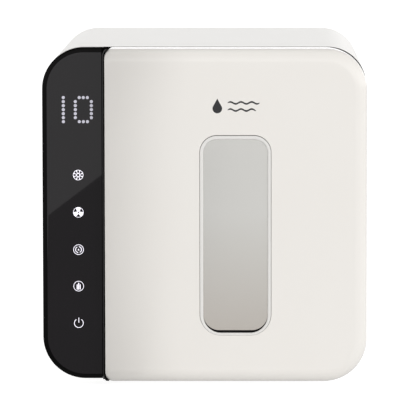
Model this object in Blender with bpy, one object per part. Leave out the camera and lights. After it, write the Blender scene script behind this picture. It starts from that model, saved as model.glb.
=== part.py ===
"""Countertop bottle sterilizer: rounded white case, black touch column on the left,
a side hinged white door with a tall window, and a steel chamber behind it.

Frame: metres, the door faces -Y, +Z is up, the origin is on the counter under the middle of the
body. Left is -X. All dimensions below are in millimetres; make_object turns them into metres.
"""

import math
from collections import namedtuple

import bmesh
import bpy
from mathutils import Matrix, Vector

MM = 0.001
GAP = 0.3  # clearance between neighbouring parts

# A rectangle is (low x, high x, low z, high z), or the same in x and y for a level one.

# body; corner radii run bottom left, bottom right, top right, top left
BODY_LEFT, BODY_RIGHT, BODY_BOTTOM, BODY_TOP = BODY = (-156.0, 156.0, 5.5, 326.8)
BODY_RADII = RADIUS_BL, RADIUS_BR, RADIUS_TR, RADIUS_TL = (41.0, 41.0, 37.5, 39.5)
CASE_FRONT, CASE_BACK = -117.5, 144.0
CASE_WALL = 2.5
REAR_COVER_BACK = 147.0
FRAME_FRONT = -114.0

# control column
COLUMN_RIGHT = -98.4
COLUMN_BACK, COLUMN_FRONT, GLASS_FRONT = -117.8, -130.9, -133.0
CABLE_Z = 150.0
CABLE_SLOT = (-136.0, -120.0, CABLE_Z - 4, CABLE_Z + 4)

# door
DOOR_LEFT, COVER_LEFT = -97.5, -95.5
DOOR_FRONT, DOOR_BACK = -150.0, -118.6
COVER_BACK = -121.5
COVER_SHELL = 2.4
STRIP_FRONT = -145.5
ROLL_IN, ROLL_LEFT, ROLL_DEEP = 13.0, 0.6, 9.0  # rounding of the cover's front edge
HINGE_X, HINGE_Y = 151.0, -125.5
HINGE_HEIGHTS = {"lower": 60.0, "upper": 268.0}
DOOR_PIVOT = (HINGE_X, HINGE_Y, 0)
SWITCH_X, SWITCH_Z = -92.0, 100.0

# window; ring and pane are (width, height, upper corner radius)
WINDOW_X, WINDOW_Z = 29.85, 147.55
RING = (68.0, 192.4, 16.3)
PANE = (61.6, 186.2, 12.8)
LOWER_CORNER_EXTRA = 3.9  # the lower corners are that much rounder

# chamber
CHAMBER = (-78.0, 126.0, 36.0, 298.0)
CHAMBER_LEFT, CHAMBER_RIGHT, CHAMBER_FLOOR, CHAMBER_CEILING = CHAMBER
CHAMBER_X = (CHAMBER_LEFT + CHAMBER_RIGHT) / 2
CHAMBER_FRONT, CHAMBER_BACK = -110.7, 88.0
CHAMBER_RADIUS = 12.0
SHEET = 1.0
RAIL_TOP = 167.6  # the ledge that carries the upper shelf

# fan, heater and filter share one line; the power inlet is beside them
FAN_X, FAN_Z = CHAMBER_X, 152.0
DUCT_SIZE, DUCT_SHEET = 94.0, 2.0
FAN_SIZE, FAN_BORE_RADIUS = 90.0, 42.0
IMPELLER_Y = 113.0
FILTER_COVER_SIZE = 116.0
INLET_X, INLET_Z = -120.0, 52.0
INLET_OPENING = (INLET_X - 17, INLET_X + 17, INLET_Z - 14, INLET_Z + 14)

# ---------------------------------------------------------------- materials
Look = namedtuple("Look", "colour roughness metallic coat glow", defaults=(0.0, 0.0, 0.0))

# linear RGB colour, roughness; glow is the emission strength in the same colour
LOOKS = {
    "case": Look((0.80, 0.79, 0.76), 0.32),
    "front frame": Look((0.74, 0.73, 0.71), 0.45),
    "rear cover": Look((0.72, 0.71, 0.69), 0.5),
    "foot": Look((0.03, 0.03, 0.03), 0.8),
    "column housing": Look((0.015, 0.014, 0.014), 0.35),
    "column glass": Look((0.012, 0.011, 0.012), 0.06, coat=1.0),
    "sensor film": Look((0.75, 0.5, 0.2), 0.4),
    "panel board": Look((0.03, 0.16, 0.08), 0.5),
    "display": Look((0.70, 0.68, 0.85), 0.4, glow=0.4),
    "black plastic": Look((0.02, 0.02, 0.02), 0.5),
    "cable": Look((0.45, 0.45, 0.47), 0.6),
    "chamber steel": Look((0.62, 0.62, 0.62), 0.28, metallic=1.0),
    "rail steel": Look((0.6, 0.6, 0.6), 0.3, metallic=1.0),
    "lamp": Look((0.72, 0.78, 0.95), 0.15, glow=0.5),
    "lamp holder": Look((0.80, 0.80, 0.78), 0.5),
    "guard steel": Look((0.66, 0.66, 0.66), 0.3, metallic=1.0),
    "wire steel": Look((0.7, 0.7, 0.7), 0.25, metallic=1.0),
    "drip tray": Look((0.8, 0.8, 0.8), 0.35),
    "duct": Look((0.55, 0.55, 0.55), 0.4, metallic=1.0),
    "heater": Look((0.62, 0.60, 0.58), 0.4, metallic=1.0),
    "cutout": Look((0.7, 0.68, 0.6), 0.4, metallic=0.6),
    "motor": Look((0.25, 0.25, 0.26), 0.4, metallic=0.7),
    "impeller": Look((0.03, 0.03, 0.035), 0.5),
    "filter cover": Look((0.70, 0.69, 0.67), 0.5),
    "filter": Look((0.78, 0.78, 0.76), 0.9),
    "power board": Look((0.04, 0.17, 0.07), 0.5),
    "transformer": Look((0.42, 0.30, 0.06), 0.5),
    "capacitor": Look((0.03, 0.05, 0.16), 0.35),
    "ballast": Look((0.55, 0.55, 0.56), 0.4, metallic=1.0),
    "inlet": Look((0.015, 0.015, 0.015), 0.45),
    "plunger": Look((0.6, 0.1, 0.08), 0.4),
    "catch plate": Look((0.6, 0.6, 0.6), 0.35, metallic=1.0),
    "hinge bracket": Look((0.55, 0.55, 0.56), 0.35, metallic=1.0),
    "hinge bush": Look((0.75, 0.74, 0.70), 0.4),
    "hinge pin": Look((0.6, 0.6, 0.61), 0.25, metallic=1.0),
    "door cover": Look((0.83, 0.82, 0.79), 0.28, coat=0.2),
    "door frame": Look((0.012, 0.012, 0.012), 0.3),
    "door liner": Look((0.64, 0.64, 0.64), 0.3, metallic=1.0),
    "bezel": Look((0.82, 0.81, 0.79), 0.3),
    "pane": Look((0.55, 0.55, 0.54), 0.08, metallic=0.9),
    "gasket": Look((0.03, 0.03, 0.03), 0.7),
    "seal": Look((0.35, 0.35, 0.36), 0.7),
    "magnet": Look((0.28, 0.28, 0.29), 0.4, metallic=0.8),
}


def paint(obj, look):
    """Give obj a material of its own."""
    material = bpy.data.materials.new("mat_" + obj.name)
    material.use_nodes = True
    nodes = material.node_tree.nodes
    inputs = next(node for node in nodes if node.type == "BSDF_PRINCIPLED").inputs
    colour = (*look.colour, 1.0)
    inputs["Base Color"].default_value = colour
    inputs["Roughness"].default_value = look.roughness
    inputs["Metallic"].default_value = look.metallic
    inputs["Coat Weight"].default_value = look.coat
    if look.glow:
        inputs["Emission Color"].default_value = colour
        inputs["Emission Strength"].default_value = look.glow
    material.diffuse_color = colour
    obj.data.materials.append(material)


# ---------------------------------------------------------------- outlines
def shrink(rect, inset):
    low_x, high_x, low_z, high_z = rect
    return (low_x + inset, high_x - inset, low_z + inset, high_z - inset)


def around(x, z, width, height):
    return (x - width / 2, x + width / 2, z - height / 2, z + height / 2)


def spread(middle, pitch, count):
    """Evenly pitched places about a middle."""
    return [middle + pitch * (i - (count - 1) / 2) for i in range(count)]


def round_rect(rect, radii, steps=6):
    """Corner arcs: bottom left, bottom right, top right, top left; counter-clockwise from -Y."""
    if isinstance(radii, (int, float)):
        radii = [radii] * 4
    left, right, bottom, top = rect
    corners = [
        (left, bottom, 1, 1, 180),
        (right, bottom, -1, 1, 270),
        (right, top, -1, -1, 0),
        (left, top, 1, -1, 90),
    ]
    points = []
    for radius, (x, z, side_x, side_z, start) in zip(radii, corners):
        for i in range(steps + 1):
            angle = math.radians(start + 90 * i / steps)
            points.append((
                x + side_x * radius + radius * math.cos(angle),
                z + side_z * radius + radius * math.sin(angle),
            ))
    return points


def spoke(x, z, degrees, near, far, half_width):
    """A rectangle turned to point away from (x, z), between two distances from it."""
    cos, sin = math.cos(math.radians(degrees)), math.sin(math.radians(degrees))
    corners = [(near, -half_width), (near, half_width), (far, half_width), (far, -half_width)]
    return [(x + cos * out - sin * side, z + sin * out + cos * side) for out, side in corners]


def at_x(outline, x):
    return [(x, y, z) for y, z in outline]


def at_y(outline, y):
    return [(x, y, z) for x, z in outline]


def at_z(outline, z):
    return [(x, y, z) for x, y in outline]


def body_outline(inset=0.0):
    return round_rect(shrink(BODY, inset), [radius - inset for radius in BODY_RADII])


def column_outline(inset):
    rect = (BODY_LEFT, COLUMN_RIGHT, BODY_BOTTOM + 0.9, BODY_TOP)
    return round_rect(shrink(rect, inset), [RADIUS_BL - inset, 0.6, 0.6, RADIUS_TL - inset])


def cover_outline(edge, left, steps=6):
    """The door cover drawn in by edge at the top, bottom and right, and by left at the column."""
    left_radius = max(1.0, 7.5 - left)
    return round_rect(
        (COVER_LEFT + left, BODY_RIGHT - edge, BODY_BOTTOM + edge, BODY_TOP - edge),
        [left_radius, RADIUS_BR - edge, RADIUS_TR + 1.5 - edge, left_radius],
        steps,
    )


def chamber_outline(grow=0.0):
    return round_rect(shrink(CHAMBER, -grow), CHAMBER_RADIUS + grow, 4)


def window_outline(size, grow=0.0):
    """RING or PANE, grown on every side."""
    width, height, radius = size
    upper = radius + grow
    lower = upper + LOWER_CORNER_EXTRA
    rect = around(WINDOW_X, WINDOW_Z, width + 2 * grow, height + 2 * grow)
    return round_rect(rect, [lower, lower, upper, upper], 5)


def fan_square(size, radius, steps=2):
    return round_rect(around(FAN_X, FAN_Z, size, size), radius, steps)


# ---------------------------------------------------------------- shapes
# Each returns a function that draws the shape into a bmesh.
AXIS_TURN = {
    "x": Matrix.Rotation(math.radians(90), 3, "Y"),
    "y": Matrix.Rotation(math.radians(-90), 3, "X"),
    "z": Matrix.Identity(3),
}


def loft(rings, closed=False):
    """Walls through rings of equal count. Open ends get a flat face; closed joins end to start."""
    def draw(mesh):
        verts = [[mesh.verts.new(point) for point in ring] for ring in rings]
        pairs = list(zip(verts, verts[1:]))
        if closed:
            pairs.append((verts[-1], verts[0]))
        for here, there in pairs:
            for i in range(len(here)):
                j = (i + 1) % len(here)
                mesh.faces.new((here[i], here[j], there[j], there[i]))
        if not closed:
            mesh.faces.new(verts[0])
            mesh.faces.new(verts[-1])
    return draw


def prism(outline, start, end, place=at_y):
    return loft([place(outline, start), place(outline, end)])


def ring_prism(outer, inner, front, back):
    rings = [at_y(outer, front), at_y(outer, back), at_y(inner, back), at_y(inner, front)]
    return loft(rings, closed=True)


def slab(rect, front, back):
    """A block from an upright rectangle."""
    left, right, bottom, top = rect
    return prism([(left, bottom), (right, bottom), (right, top), (left, top)], front, back)


def box(x_span, y_span, z_span):
    return slab((*x_span, *z_span), *y_span)


def slot_row(x, pitch, count, width, y_span, z_span):
    """Blocks side by side along X, centred on x."""
    return [
        box((middle - width / 2, middle + width / 2), y_span, z_span)
        for middle in spread(x, pitch, count)
    ]


def rod(axis, centre, radius, length, sides=16, end_radius=None):
    """A cylinder centred on centre; end_radius is the radius at its far (+) end."""
    def draw(mesh):
        verts = bmesh.ops.create_cone(
            mesh,
            cap_ends=True,
            cap_tris=False,
            segments=sides,
            radius1=radius,
            radius2=radius if end_radius is None else end_radius,
            depth=length,
        )["verts"]
        bmesh.ops.rotate(mesh, verts=verts, cent=(0, 0, 0), matrix=AXIS_TURN[axis])
        bmesh.ops.translate(mesh, verts=verts, vec=centre)
    return draw


def tube(axis, centre, inner_radius, outer_radius, length, sides=16):
    rings = []
    for radius, end in (
        (outer_radius, -0.5), (outer_radius, 0.5), (inner_radius, 0.5), (inner_radius, -0.5)
    ):
        ring = []
        for i in range(sides):
            angle = 2 * math.pi * i / sides
            point = Vector((radius * math.cos(angle), radius * math.sin(angle), end * length))
            ring.append(AXIS_TURN[axis] @ point + Vector(centre))
        rings.append(ring)
    return loft(rings, closed=True)


def sweep(path, radius, sides=6, loop=False):
    """A round wire along a path of points, its bends mitred."""
    points = [Vector(point) for point in path]
    last = len(points) - 1
    rings = []
    for i, point in enumerate(points):
        arriving = point - points[i - 1] if loop or i > 0 else points[1] - point
        leaving = points[(i + 1) % len(points)] - point if loop or i < last else arriving
        arriving, leaving = arriving.normalized(), leaving.normalized()
        along = (arriving + leaving).normalized()
        up = Vector((0, 0, 1)) if abs(along.z) < 0.9 else Vector((0, 1, 0))
        side = along.cross(up).normalized()
        top = side.cross(along).normalized()
        bend = leaving - arriving
        bent = bend.length > 1e-6
        bend.normalize()
        stretch = 1.0 / arriving.dot(along)
        ring = []
        for j in range(sides):
            angle = 2 * math.pi * (j + 0.5) / sides
            offset = side * (radius * math.cos(angle)) + top * (radius * math.sin(angle))
            if bent:
                offset += bend * (offset.dot(bend) * (stretch - 1.0))
            ring.append(point + offset)
        rings.append(ring)
    return loft(rings, closed=loop)


def wire_loop(rect, z, wire_radius, corner_radius):
    """A level wire frame whose outer edge is the rectangle."""
    outline = round_rect(shrink(rect, wire_radius), corner_radius, 3)
    return sweep(at_z(outline, z), wire_radius, loop=True)


# ---------------------------------------------------------------- objects
def clear_scene():
    for obj in list(bpy.data.objects):
        bpy.data.objects.remove(obj, do_unlink=True)
    for mesh in list(bpy.data.meshes):
        bpy.data.meshes.remove(mesh)
    for material in list(bpy.data.materials):
        bpy.data.materials.remove(material)


def make_object(name, shapes, smooth=False, pivot=(0, 0, 0)):
    """An object of shapes drawn in world millimetres; pivot is the object's origin."""
    drawing = bmesh.new()
    for draw in shapes:
        draw(drawing)
    bmesh.ops.recalc_face_normals(drawing, faces=drawing.faces)
    origin = Vector(pivot)
    bmesh.ops.translate(drawing, verts=drawing.verts, vec=-origin)
    bmesh.ops.scale(drawing, verts=drawing.verts, vec=(MM, MM, MM))
    mesh = bpy.data.meshes.new(name)
    drawing.to_mesh(mesh)
    drawing.free()
    if smooth:
        for face in mesh.polygons:
            face.use_smooth = True
        mesh.set_sharp_from_angle(angle=math.radians(35))
    obj = bpy.data.objects.new(name, mesh)
    obj.location = origin * MM
    bpy.context.scene.collection.objects.link(obj)
    return obj


def piece(name, look, *shapes, smooth=False, pivot=(0, 0, 0)):
    obj = make_object(name, shapes, smooth, pivot)
    paint(obj, LOOKS[look])
    return obj


def boolean(obj, operation, helper_name, shapes):
    helper = make_object(helper_name, shapes)
    helper.hide_render = True
    helper.display_type = "WIRE"
    modifier = obj.modifiers.new(operation.lower(), "BOOLEAN")
    modifier.operation = operation
    modifier.solver = "EXACT"
    modifier.object = helper


def cut(obj, helper_name, *shapes):
    boolean(obj, "DIFFERENCE", helper_name, shapes)


def join(obj, helper_name, *shapes):
    boolean(obj, "UNION", helper_name, shapes)


# ---------------------------------------------------------------- case
def build_outer_case():
    tunnel = ring_prism(body_outline(), body_outline(CASE_WALL), CASE_FRONT, CASE_BACK)
    piece("outer_case", "case", tunnel, smooth=True)


def build_front_frame():
    """A plate inside the case's front edge, with a skirt running back along the case wall."""
    thickness, depth, skirt_wall = 3, 11, 2.2
    outer = body_outline(CASE_WALL + GAP)
    inner = body_outline(CASE_WALL + GAP + skirt_wall)
    frame = piece(
        "front_frame", "front frame",
        loft([
            at_y(inner, FRAME_FRONT + thickness),
            at_y(inner, FRAME_FRONT + depth),
            at_y(outer, FRAME_FRONT + depth),
            at_y(outer, FRAME_FRONT),
        ]),
        smooth=True,
    )
    cut_span = (FRAME_FRONT - 5, FRAME_FRONT + 8)
    cut(
        frame, "cut_front_frame",
        prism(chamber_outline(), *cut_span),
        slab(CABLE_SLOT, *cut_span),
        rod("y", (SWITCH_X, FRAME_FRONT, SWITCH_Z), 2.9, 12),
    )


def build_rear_cover():
    """The back plate, open for the filter cover and the inlet, with vents near the top."""
    cover = piece(
        "rear_cover", "rear cover",
        prism(body_outline(), CASE_BACK + GAP, REAR_COVER_BACK),
        smooth=True,
    )
    cut_span = (CASE_BACK - 4, REAR_COVER_BACK + 4)
    filter_opening = FILTER_COVER_SIZE + 1
    cut(
        cover, "cut_rear_cover",
        slab(around(FAN_X, FAN_Z, filter_opening, filter_opening), *cut_span),
        slab(INLET_OPENING, *cut_span),
        *slot_row(FAN_X, 13, 9, 6, cut_span, (244, 280)),
    )


def build_feet():
    height, bottom_radius, top_radius = 5.2, 9.5, 11.5
    for depth_name, y in (("front", -82), ("rear", 108)):
        for side_name, x in (("left", -112), ("right", 112)):
            foot = rod("z", (x, y, height / 2), bottom_radius, height, 20, top_radius)
            piece(f"foot_{depth_name}_{side_name}", "foot", foot, smooth=True)


# ---------------------------------------------------------------- control column
# name, look, x span, y span, z span
COLUMN_BOXES = [
    ("touch_sensor_film", "sensor film", (-143, -103.6), (-130.85, -130.35), (40, 218)),
    ("panel_board", "panel board", (-146, -103.6), (-124.1, -122.5), (48, 288)),
    ("dot_matrix_display", "display", (-142, -104.4), (-130.5, -124.4), (244, 284)),
]


def build_column_housing():
    """A tray open to the front."""
    floor = 2
    outer, inner = column_outline(0.35), column_outline(3.0)
    housing = piece(
        "control_panel_housing", "column housing",
        loft([
            at_y(inner, COLUMN_BACK - floor),
            at_y(inner, COLUMN_FRONT),
            at_y(outer, COLUMN_FRONT),
            at_y(outer, COLUMN_BACK),
        ]),
        smooth=True,
    )
    cut(housing, "cut_housing", slab(CABLE_SLOT, COLUMN_BACK - 6, COLUMN_BACK + 4))


def build_column_glass():
    """The front glass, its edge eased towards the front."""
    back = COLUMN_FRONT - GAP
    # inset, y
    stations = [(0.0, back), (0.35, back - 0.9), (1.5, GLASS_FRONT + 0.25), (3.2, GLASS_FRONT)]
    glass = loft([at_y(column_outline(inset), y) for inset, y in stations])
    piece("control_panel_glass", "column glass", glass, smooth=True)


def build_control_cable():
    """A flat cable from the panel board back through the slots to the left bay."""
    half_thickness, half_width = 0.6, 2.5
    # x, y of the centre line
    route = [(-128, -122.2), (-128, -104), (-140, -84), (-143.5, -70), (-143.5, -52)]
    points = [Vector(point) for point in route]
    left, right = [], []
    for before, point, after in zip(points[:1] + points, points, points[1:] + points[-1:]):
        along = (after - before).normalized()
        offset = Vector((-along.y, along.x)) * half_thickness
        left.append(point + offset)
        right.append(point - offset)
    cable = prism(left + right[::-1], CABLE_Z - half_width, CABLE_Z + half_width, at_z)
    piece("control_cable", "cable", cable)


def build_column():
    build_column_housing()
    build_column_glass()
    for name, look, *spans in COLUMN_BOXES:
        piece(name, look, box(*spans))
    piece("buzzer", "black plastic", rod("y", (-121, -127.1, 230), 6.0, 5.4), smooth=True)
    build_control_cable()


# ---------------------------------------------------------------- chamber
def build_chamber_liner():
    """A sheet box open to the front with a flange; its rear wall has air slots."""
    flange = chamber_outline(7.0)
    inside, outside = chamber_outline(), chamber_outline(SHEET)
    liner = piece(
        "chamber_liner", "chamber steel",
        loft([
            at_y(inside, CHAMBER_BACK),
            at_y(inside, CHAMBER_FRONT),
            at_y(flange, CHAMBER_FRONT),
            at_y(flange, CHAMBER_FRONT + SHEET),
            at_y(outside, CHAMBER_FRONT + SHEET),
            at_y(outside, CHAMBER_BACK + SHEET),
        ]),
        smooth=True,
    )
    cut_span = (CHAMBER_BACK - 4, CHAMBER_BACK + 5)
    cut(
        liner, "cut_liner",
        *slot_row(FAN_X, 11, 7, 5, cut_span, (FAN_Z - 34, FAN_Z + 34)),
        *slot_row(FAN_X, 22, 5, 14, cut_span, (254, 259)),
    )


def build_shelf_rails():
    """Angle rails along the side walls."""
    width, sheet = 8.2, 1.5
    bottom, top = 166, 176
    for name, wall, inward in (
        ("left", CHAMBER_LEFT + GAP, 1), ("right", CHAMBER_RIGHT - GAP, -1)
    ):
        edge = wall + inward * width
        flank = wall + inward * sheet
        outline = [
            (wall, bottom), (edge, bottom), (edge, RAIL_TOP),
            (flank, RAIL_TOP), (flank, top), (wall, top),
        ]
        piece("shelf_rail_" + name, "rail steel", prism(outline, -100, 62))


LAMP_LENGTH, LAMP_RADIUS = 154.0, 7.5
HOLDER_HALF, HOLDER_OUTER_END = 9.0, 89.0  # half the section; outer end from CHAMBER_X
GUARD_HALF, GUARD_SHEET = 12.0, 0.8


def channel(middle, root, tip):
    """A U of guard sheet as (across, depth) points; its web is at tip, its legs end at root."""
    outer, inner = GUARD_HALF, GUARD_HALF - GUARD_SHEET
    web = tip + GUARD_SHEET
    return [
        (middle - outer, root), (middle - outer, tip), (middle + outer, tip),
        (middle + outer, root), (middle + inner, root), (middle + inner, web),
        (middle - inner, web), (middle - inner, root),
    ]


def build_lamp(tag, y, z, holder_spans, guard_outline, slot_spans):
    """A lamp along X with its two holders and slotted guard; spans are in y and z."""
    tube_end = LAMP_LENGTH / 2
    lamp = rod("x", (CHAMBER_X, y, z), LAMP_RADIUS, LAMP_LENGTH, 20)
    piece("uv_lamp_" + tag, "lamp", lamp, smooth=True)

    near, far = tube_end + GAP, HOLDER_OUTER_END
    for end, x_span in (
        ("left", (CHAMBER_X - far, CHAMBER_X - near)),
        ("right", (CHAMBER_X + near, CHAMBER_X + far)),
    ):
        piece(f"lamp_holder_{tag}_{end}", "lamp holder", box(x_span, *holder_spans))

    guard_end = tube_end - GAP
    body = prism(guard_outline, CHAMBER_X - guard_end, CHAMBER_X + guard_end, at_x)
    guard = piece("lamp_guard_" + tag, "guard steel", body)
    cut(guard, "cut_guard_" + tag, *slot_row(CHAMBER_X, 16, 9, 10.8, *slot_spans))


def build_lamps():
    """One lamp under the ceiling, one low on the rear wall."""
    slot_half = 10
    y, z = -14.0, 283.0
    build_lamp(
        "upper", y, z,
        ((y - HOLDER_HALF, y + HOLDER_HALF), (z - HOLDER_HALF, CHAMBER_CEILING - GAP)),
        channel(y, 297.5, 272.6),
        ((y - slot_half, y + slot_half), (268, 278)),
    )
    y, z = 77.0, 74.0
    build_lamp(
        "rear", y, z,
        ((y - HOLDER_HALF, CHAMBER_BACK - GAP), (z - HOLDER_HALF, z + HOLDER_HALF)),
        [(depth, across) for across, depth in channel(z, 87.5, 66.6)],
        ((62, 72), (z - slot_half, z + slot_half)),
    )


def build_upper_shelf():
    """A wire frame with cross wires, resting on the rails."""
    left, right, front, back = rect = (-73.0, 121.0, -97.0, 60.0)
    wire_radius = 1.8
    z = RAIL_TOP + GAP + wire_radius
    shelf = piece("upper_shelf", "wire steel", wire_loop(rect, z, wire_radius, 10))

    # wire ends stop inside the frame wire
    cross_count, side_margin, cross_end, cross_z = 12, 16, 1.7, z + 0.43
    pitch = (right - left - 2 * side_margin) / (cross_count - 1)
    join(shelf, "shelf_cross", *[
        sweep([(x, front + cross_end, cross_z), (x, back - cross_end, cross_z)], 1.07)
        for x in spread(CHAMBER_X, pitch, cross_count)
    ])
    long_end, long_z = 1.75, z - 0.37
    join(shelf, "shelf_long", *[
        sweep([(left + long_end, y, long_z), (right - long_end, y, long_z)], 1.31)
        for y in (front + 50, back - 50)
    ])


def build_lower_rack():
    """Floor grid, rim and uprights, standing in the drip tray."""
    left, right, front, back = rect = (-69.0, 117.0, -95.0, 58.0)
    floor_z, rim_z = 56.6, 92.0
    wire_radius, corner_radius = 1.6, 12
    rack = piece("lower_rack", "wire steel", wire_loop(rect, rim_z, wire_radius, corner_radius))

    inset, overrun = 1.7, 0.6
    feet = [
        (x, y)
        for x in (left + 30, CHAMBER_X, right - 30)
        for y in (front + inset, back - inset)
    ] + [
        (x, y)
        for x in (left + inset, right - inset)
        for y in (front + 40, back - 40)
    ]
    join(rack, "rack_uprights", *[
        sweep([(x, y, floor_z - overrun), (x, y, rim_z + overrun)], 1.1, 5) for x, y in feet
    ])
    join(rack, "rack_floor_ring", wire_loop(rect, floor_z, wire_radius, corner_radius))

    grid_end, grid_z = 1.55, floor_z + 0.33
    join(rack, "rack_grid", *[
        sweep([(x, front + grid_end, grid_z), (x, back - grid_end, grid_z)], 1.02)
        for x in spread(CHAMBER_X, 15, 11)
    ])


def build_drip_tray():
    rect = (-72, 120, -100, 62)
    bottom, rim = CHAMBER_FLOOR + GAP, 54.2
    # inset, z: up the inside, over the rim, down the outside
    stations = [
        (8.0, bottom + 1.4), (3.4, 53.0), (2.4, rim), (0.0, rim),
        (0.0, rim - 1.0), (2.0, 52.2), (6.8, bottom),
    ]
    rings = [
        at_z(round_rect(shrink(rect, inset), 9 - inset * 0.5, 3), z) for inset, z in stations
    ]
    piece("drip_tray", "drip tray", loft(rings), smooth=True)


# ---------------------------------------------------------------- air path
def build_duct_and_heater():
    outer = fan_square(DUCT_SIZE, 4)
    inner = fan_square(DUCT_SIZE - 2 * DUCT_SHEET, 2)
    piece("air_duct", "duct", ring_prism(outer, inner, 89.4, 104.6))

    block = slab(around(FAN_X, FAN_Z, 89.2, 48), 92, 101)
    heater = piece("ptc_heater", "heater", block)
    passages = slot_row(FAN_X, 9, 9, 6.4, (88, 105), (FAN_Z - 19, FAN_Z + 19))
    cut(heater, "cut_heater", *passages)

    # stands on top of the duct
    height = 7.0
    centre = (FAN_X + 20, 97, FAN_Z + DUCT_SIZE / 2 + GAP + height / 2)
    piece("thermal_cutout", "cutout", rod("z", centre, 6.5, height), smooth=True)


def build_fan_housing():
    """A square frame with a round bore; four arms at the back carry the motor ring."""
    outer, inner = [], []
    for i in range(32):
        angle = 2 * math.pi * (i + 0.5) / 32
        cos, sin = math.cos(angle), math.sin(angle)
        reach = FAN_SIZE / 2 / max(abs(cos), abs(sin))  # out to the square
        outer.append((FAN_X + reach * cos, FAN_Z + reach * sin))
        inner.append((FAN_X + FAN_BORE_RADIUS * cos, FAN_Z + FAN_BORE_RADIUS * sin))
    body = ring_prism(outer, inner, 105.0, 128.0)
    fan = piece("fan_housing", "black plastic", body, smooth=True)
    join(fan, "fan_ring", tube("y", (FAN_X, 124.9, FAN_Z), 14.3, 16.5, 6.0))
    join(fan, "fan_arms", *[
        prism(spoke(FAN_X, FAN_Z, 45 + 90 * k, 15.2, 43.7, 1.5), 124.0, 127.0)
        for k in range(4)
    ])

    motor = tube("y", (FAN_X, 124.7, FAN_Z), 1.8, 14.0, 7.6)
    piece("fan_motor", "motor", motor, smooth=True)


BLADE_COUNT = 7
BLADE_RADII = BLADE_ROOT, _, _, BLADE_TIP = (12.5, 22.0, 31.0, 39.5)


def fan_blade(index):
    """A pitched blade, wider, more leaned and further round towards its tip."""
    half_thickness = 0.6
    turn = Matrix.Rotation(2 * math.pi * index / BLADE_COUNT, 3, "Y")
    rings = []
    for radius in BLADE_RADII:
        outward = (radius - BLADE_ROOT) / (BLADE_TIP - BLADE_ROOT)
        lean = math.radians(38 + 16 * outward)
        half_chord = 5.13 + 3.375 * outward
        ring = []
        for chord_side, face_side in ((-1, -1), (1, -1), (1, 1), (-1, 1)):
            chord = chord_side * half_chord
            thick = face_side * half_thickness
            arc = chord * math.sin(lean) + thick * math.cos(lean)
            y = chord * math.cos(lean) - thick * math.sin(lean)
            angle = 0.25 * outward + arc / radius
            point = Vector((radius * math.cos(angle), y, radius * math.sin(angle)))
            ring.append(turn @ point + Vector((FAN_X, IMPELLER_Y, FAN_Z)))
        rings.append(ring)
    return loft(rings)


def build_impeller():
    """Hub, shaft and blades."""
    centre = (FAN_X, IMPELLER_Y, FAN_Z)
    hub = rod("y", centre, 13.5, 14.0, 20)
    impeller = piece("fan_impeller", "impeller", hub, smooth=True, pivot=centre)
    join(impeller, "impeller_shaft", rod("y", (FAN_X, 123.5, FAN_Z), 1.5, 9.0, 12))
    join(impeller, "impeller_blades", *[fan_blade(k) for k in range(BLADE_COUNT)])


def build_filter_cover():
    """A slotted cover in the rear cover's opening, with a recess at the top of its back face."""
    # inset, y
    stations = [(0, 142.6), (0, 148.4), (1.6, 150.0)]
    rings = [at_y(fan_square(FILTER_COVER_SIZE - 2 * inset, 5, 3), y) for inset, y in stations]
    cover = piece(
        "filter_cover", "filter cover", loft(rings), smooth=True, pivot=(FAN_X, 146.0, FAN_Z)
    )
    cut(
        cover, "cut_filter_cover",
        *[slab(around(FAN_X, z, 92, 4), 138, 154) for z in spread(FAN_Z, 8, 11)],
        box((FAN_X - 16, FAN_X + 16), (146.5, 154), (FAN_Z + 46.5, FAN_Z + 54)),
    )


def build_air_filter():
    """A pleated sheet in a frame."""
    folds, height, half_width = 14, 100, 52
    fold_front, fold_back, thickness = 132.2, 136.2, 4.6
    front_face, back_face = [], []
    for i in range(folds + 1):
        z = FAN_Z - height / 2 + height * i / folds
        y = fold_front if i % 2 else fold_back
        front_face.append((y, z))
        back_face.append((y + thickness, z))
    sheet = prism(front_face + back_face[::-1], FAN_X - half_width, FAN_X + half_width, at_x)
    air_filter = piece("air_filter", "filter", sheet)

    rect, wall = around(FAN_X, FAN_Z, 110, 106), 3.5
    outer, inner = round_rect(rect, 2, 2), round_rect(shrink(rect, wall), 1, 2)
    join(air_filter, "filter_frame", ring_prism(outer, inner, 131.6, 142.2))


# ---------------------------------------------------------------- power and door switch
# name, look, x span, y span, z span
INSIDE_BOXES = [
    ("power_board", "power board", (-149, -147.4), (-48, 96), (60, 226)),
    ("power_transformer", "transformer", (-147.1, -119), (34, 70), (92, 128)),
    ("relay", "black plastic", (-147.1, -131), (-20, -1), (150, 168)),
    ("lamp_ballast", "ballast", (-148, -120), (-44, 56), (238, 268)),
    ("door_switch", "black plastic", (-97.5, -87), (-103.4, -90), (SWITCH_Z - 10, SWITCH_Z + 10)),
    ("catch_plate", "catch plate", (-96.2, -89.2), (-115.6, -114.3), (168, 200)),
]


def build_power_inlet():
    """A block in the rear cover's opening with a rounded socket and two prongs."""
    inlet = piece("power_inlet", "inlet", slab(shrink(INLET_OPENING, 0.4), 124, 146.8))
    socket = round_rect(around(INLET_X, INLET_Z, 22, 14), 6.9, 4)
    cut(inlet, "cut_inlet", prism(socket, 130, 150))
    join(inlet, "inlet_prongs", *[
        rod("y", (x, 134.5, INLET_Z), 1.2, 11, 10) for x in spread(INLET_X, 9, 2)
    ])


def build_mains_wire():
    # x, y, z from the inlet to the power board
    route = [
        (INLET_X, 123.7, INLET_Z), (INLET_X, 112, INLET_Z), (-128, 104, 58),
        (-141, 98.5, 66), (-144.2, 90, 72), (-144.2, 74, 78),
    ]
    piece("mains_wire", "black plastic", sweep(route, 2.2, 8), smooth=True)


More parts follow.
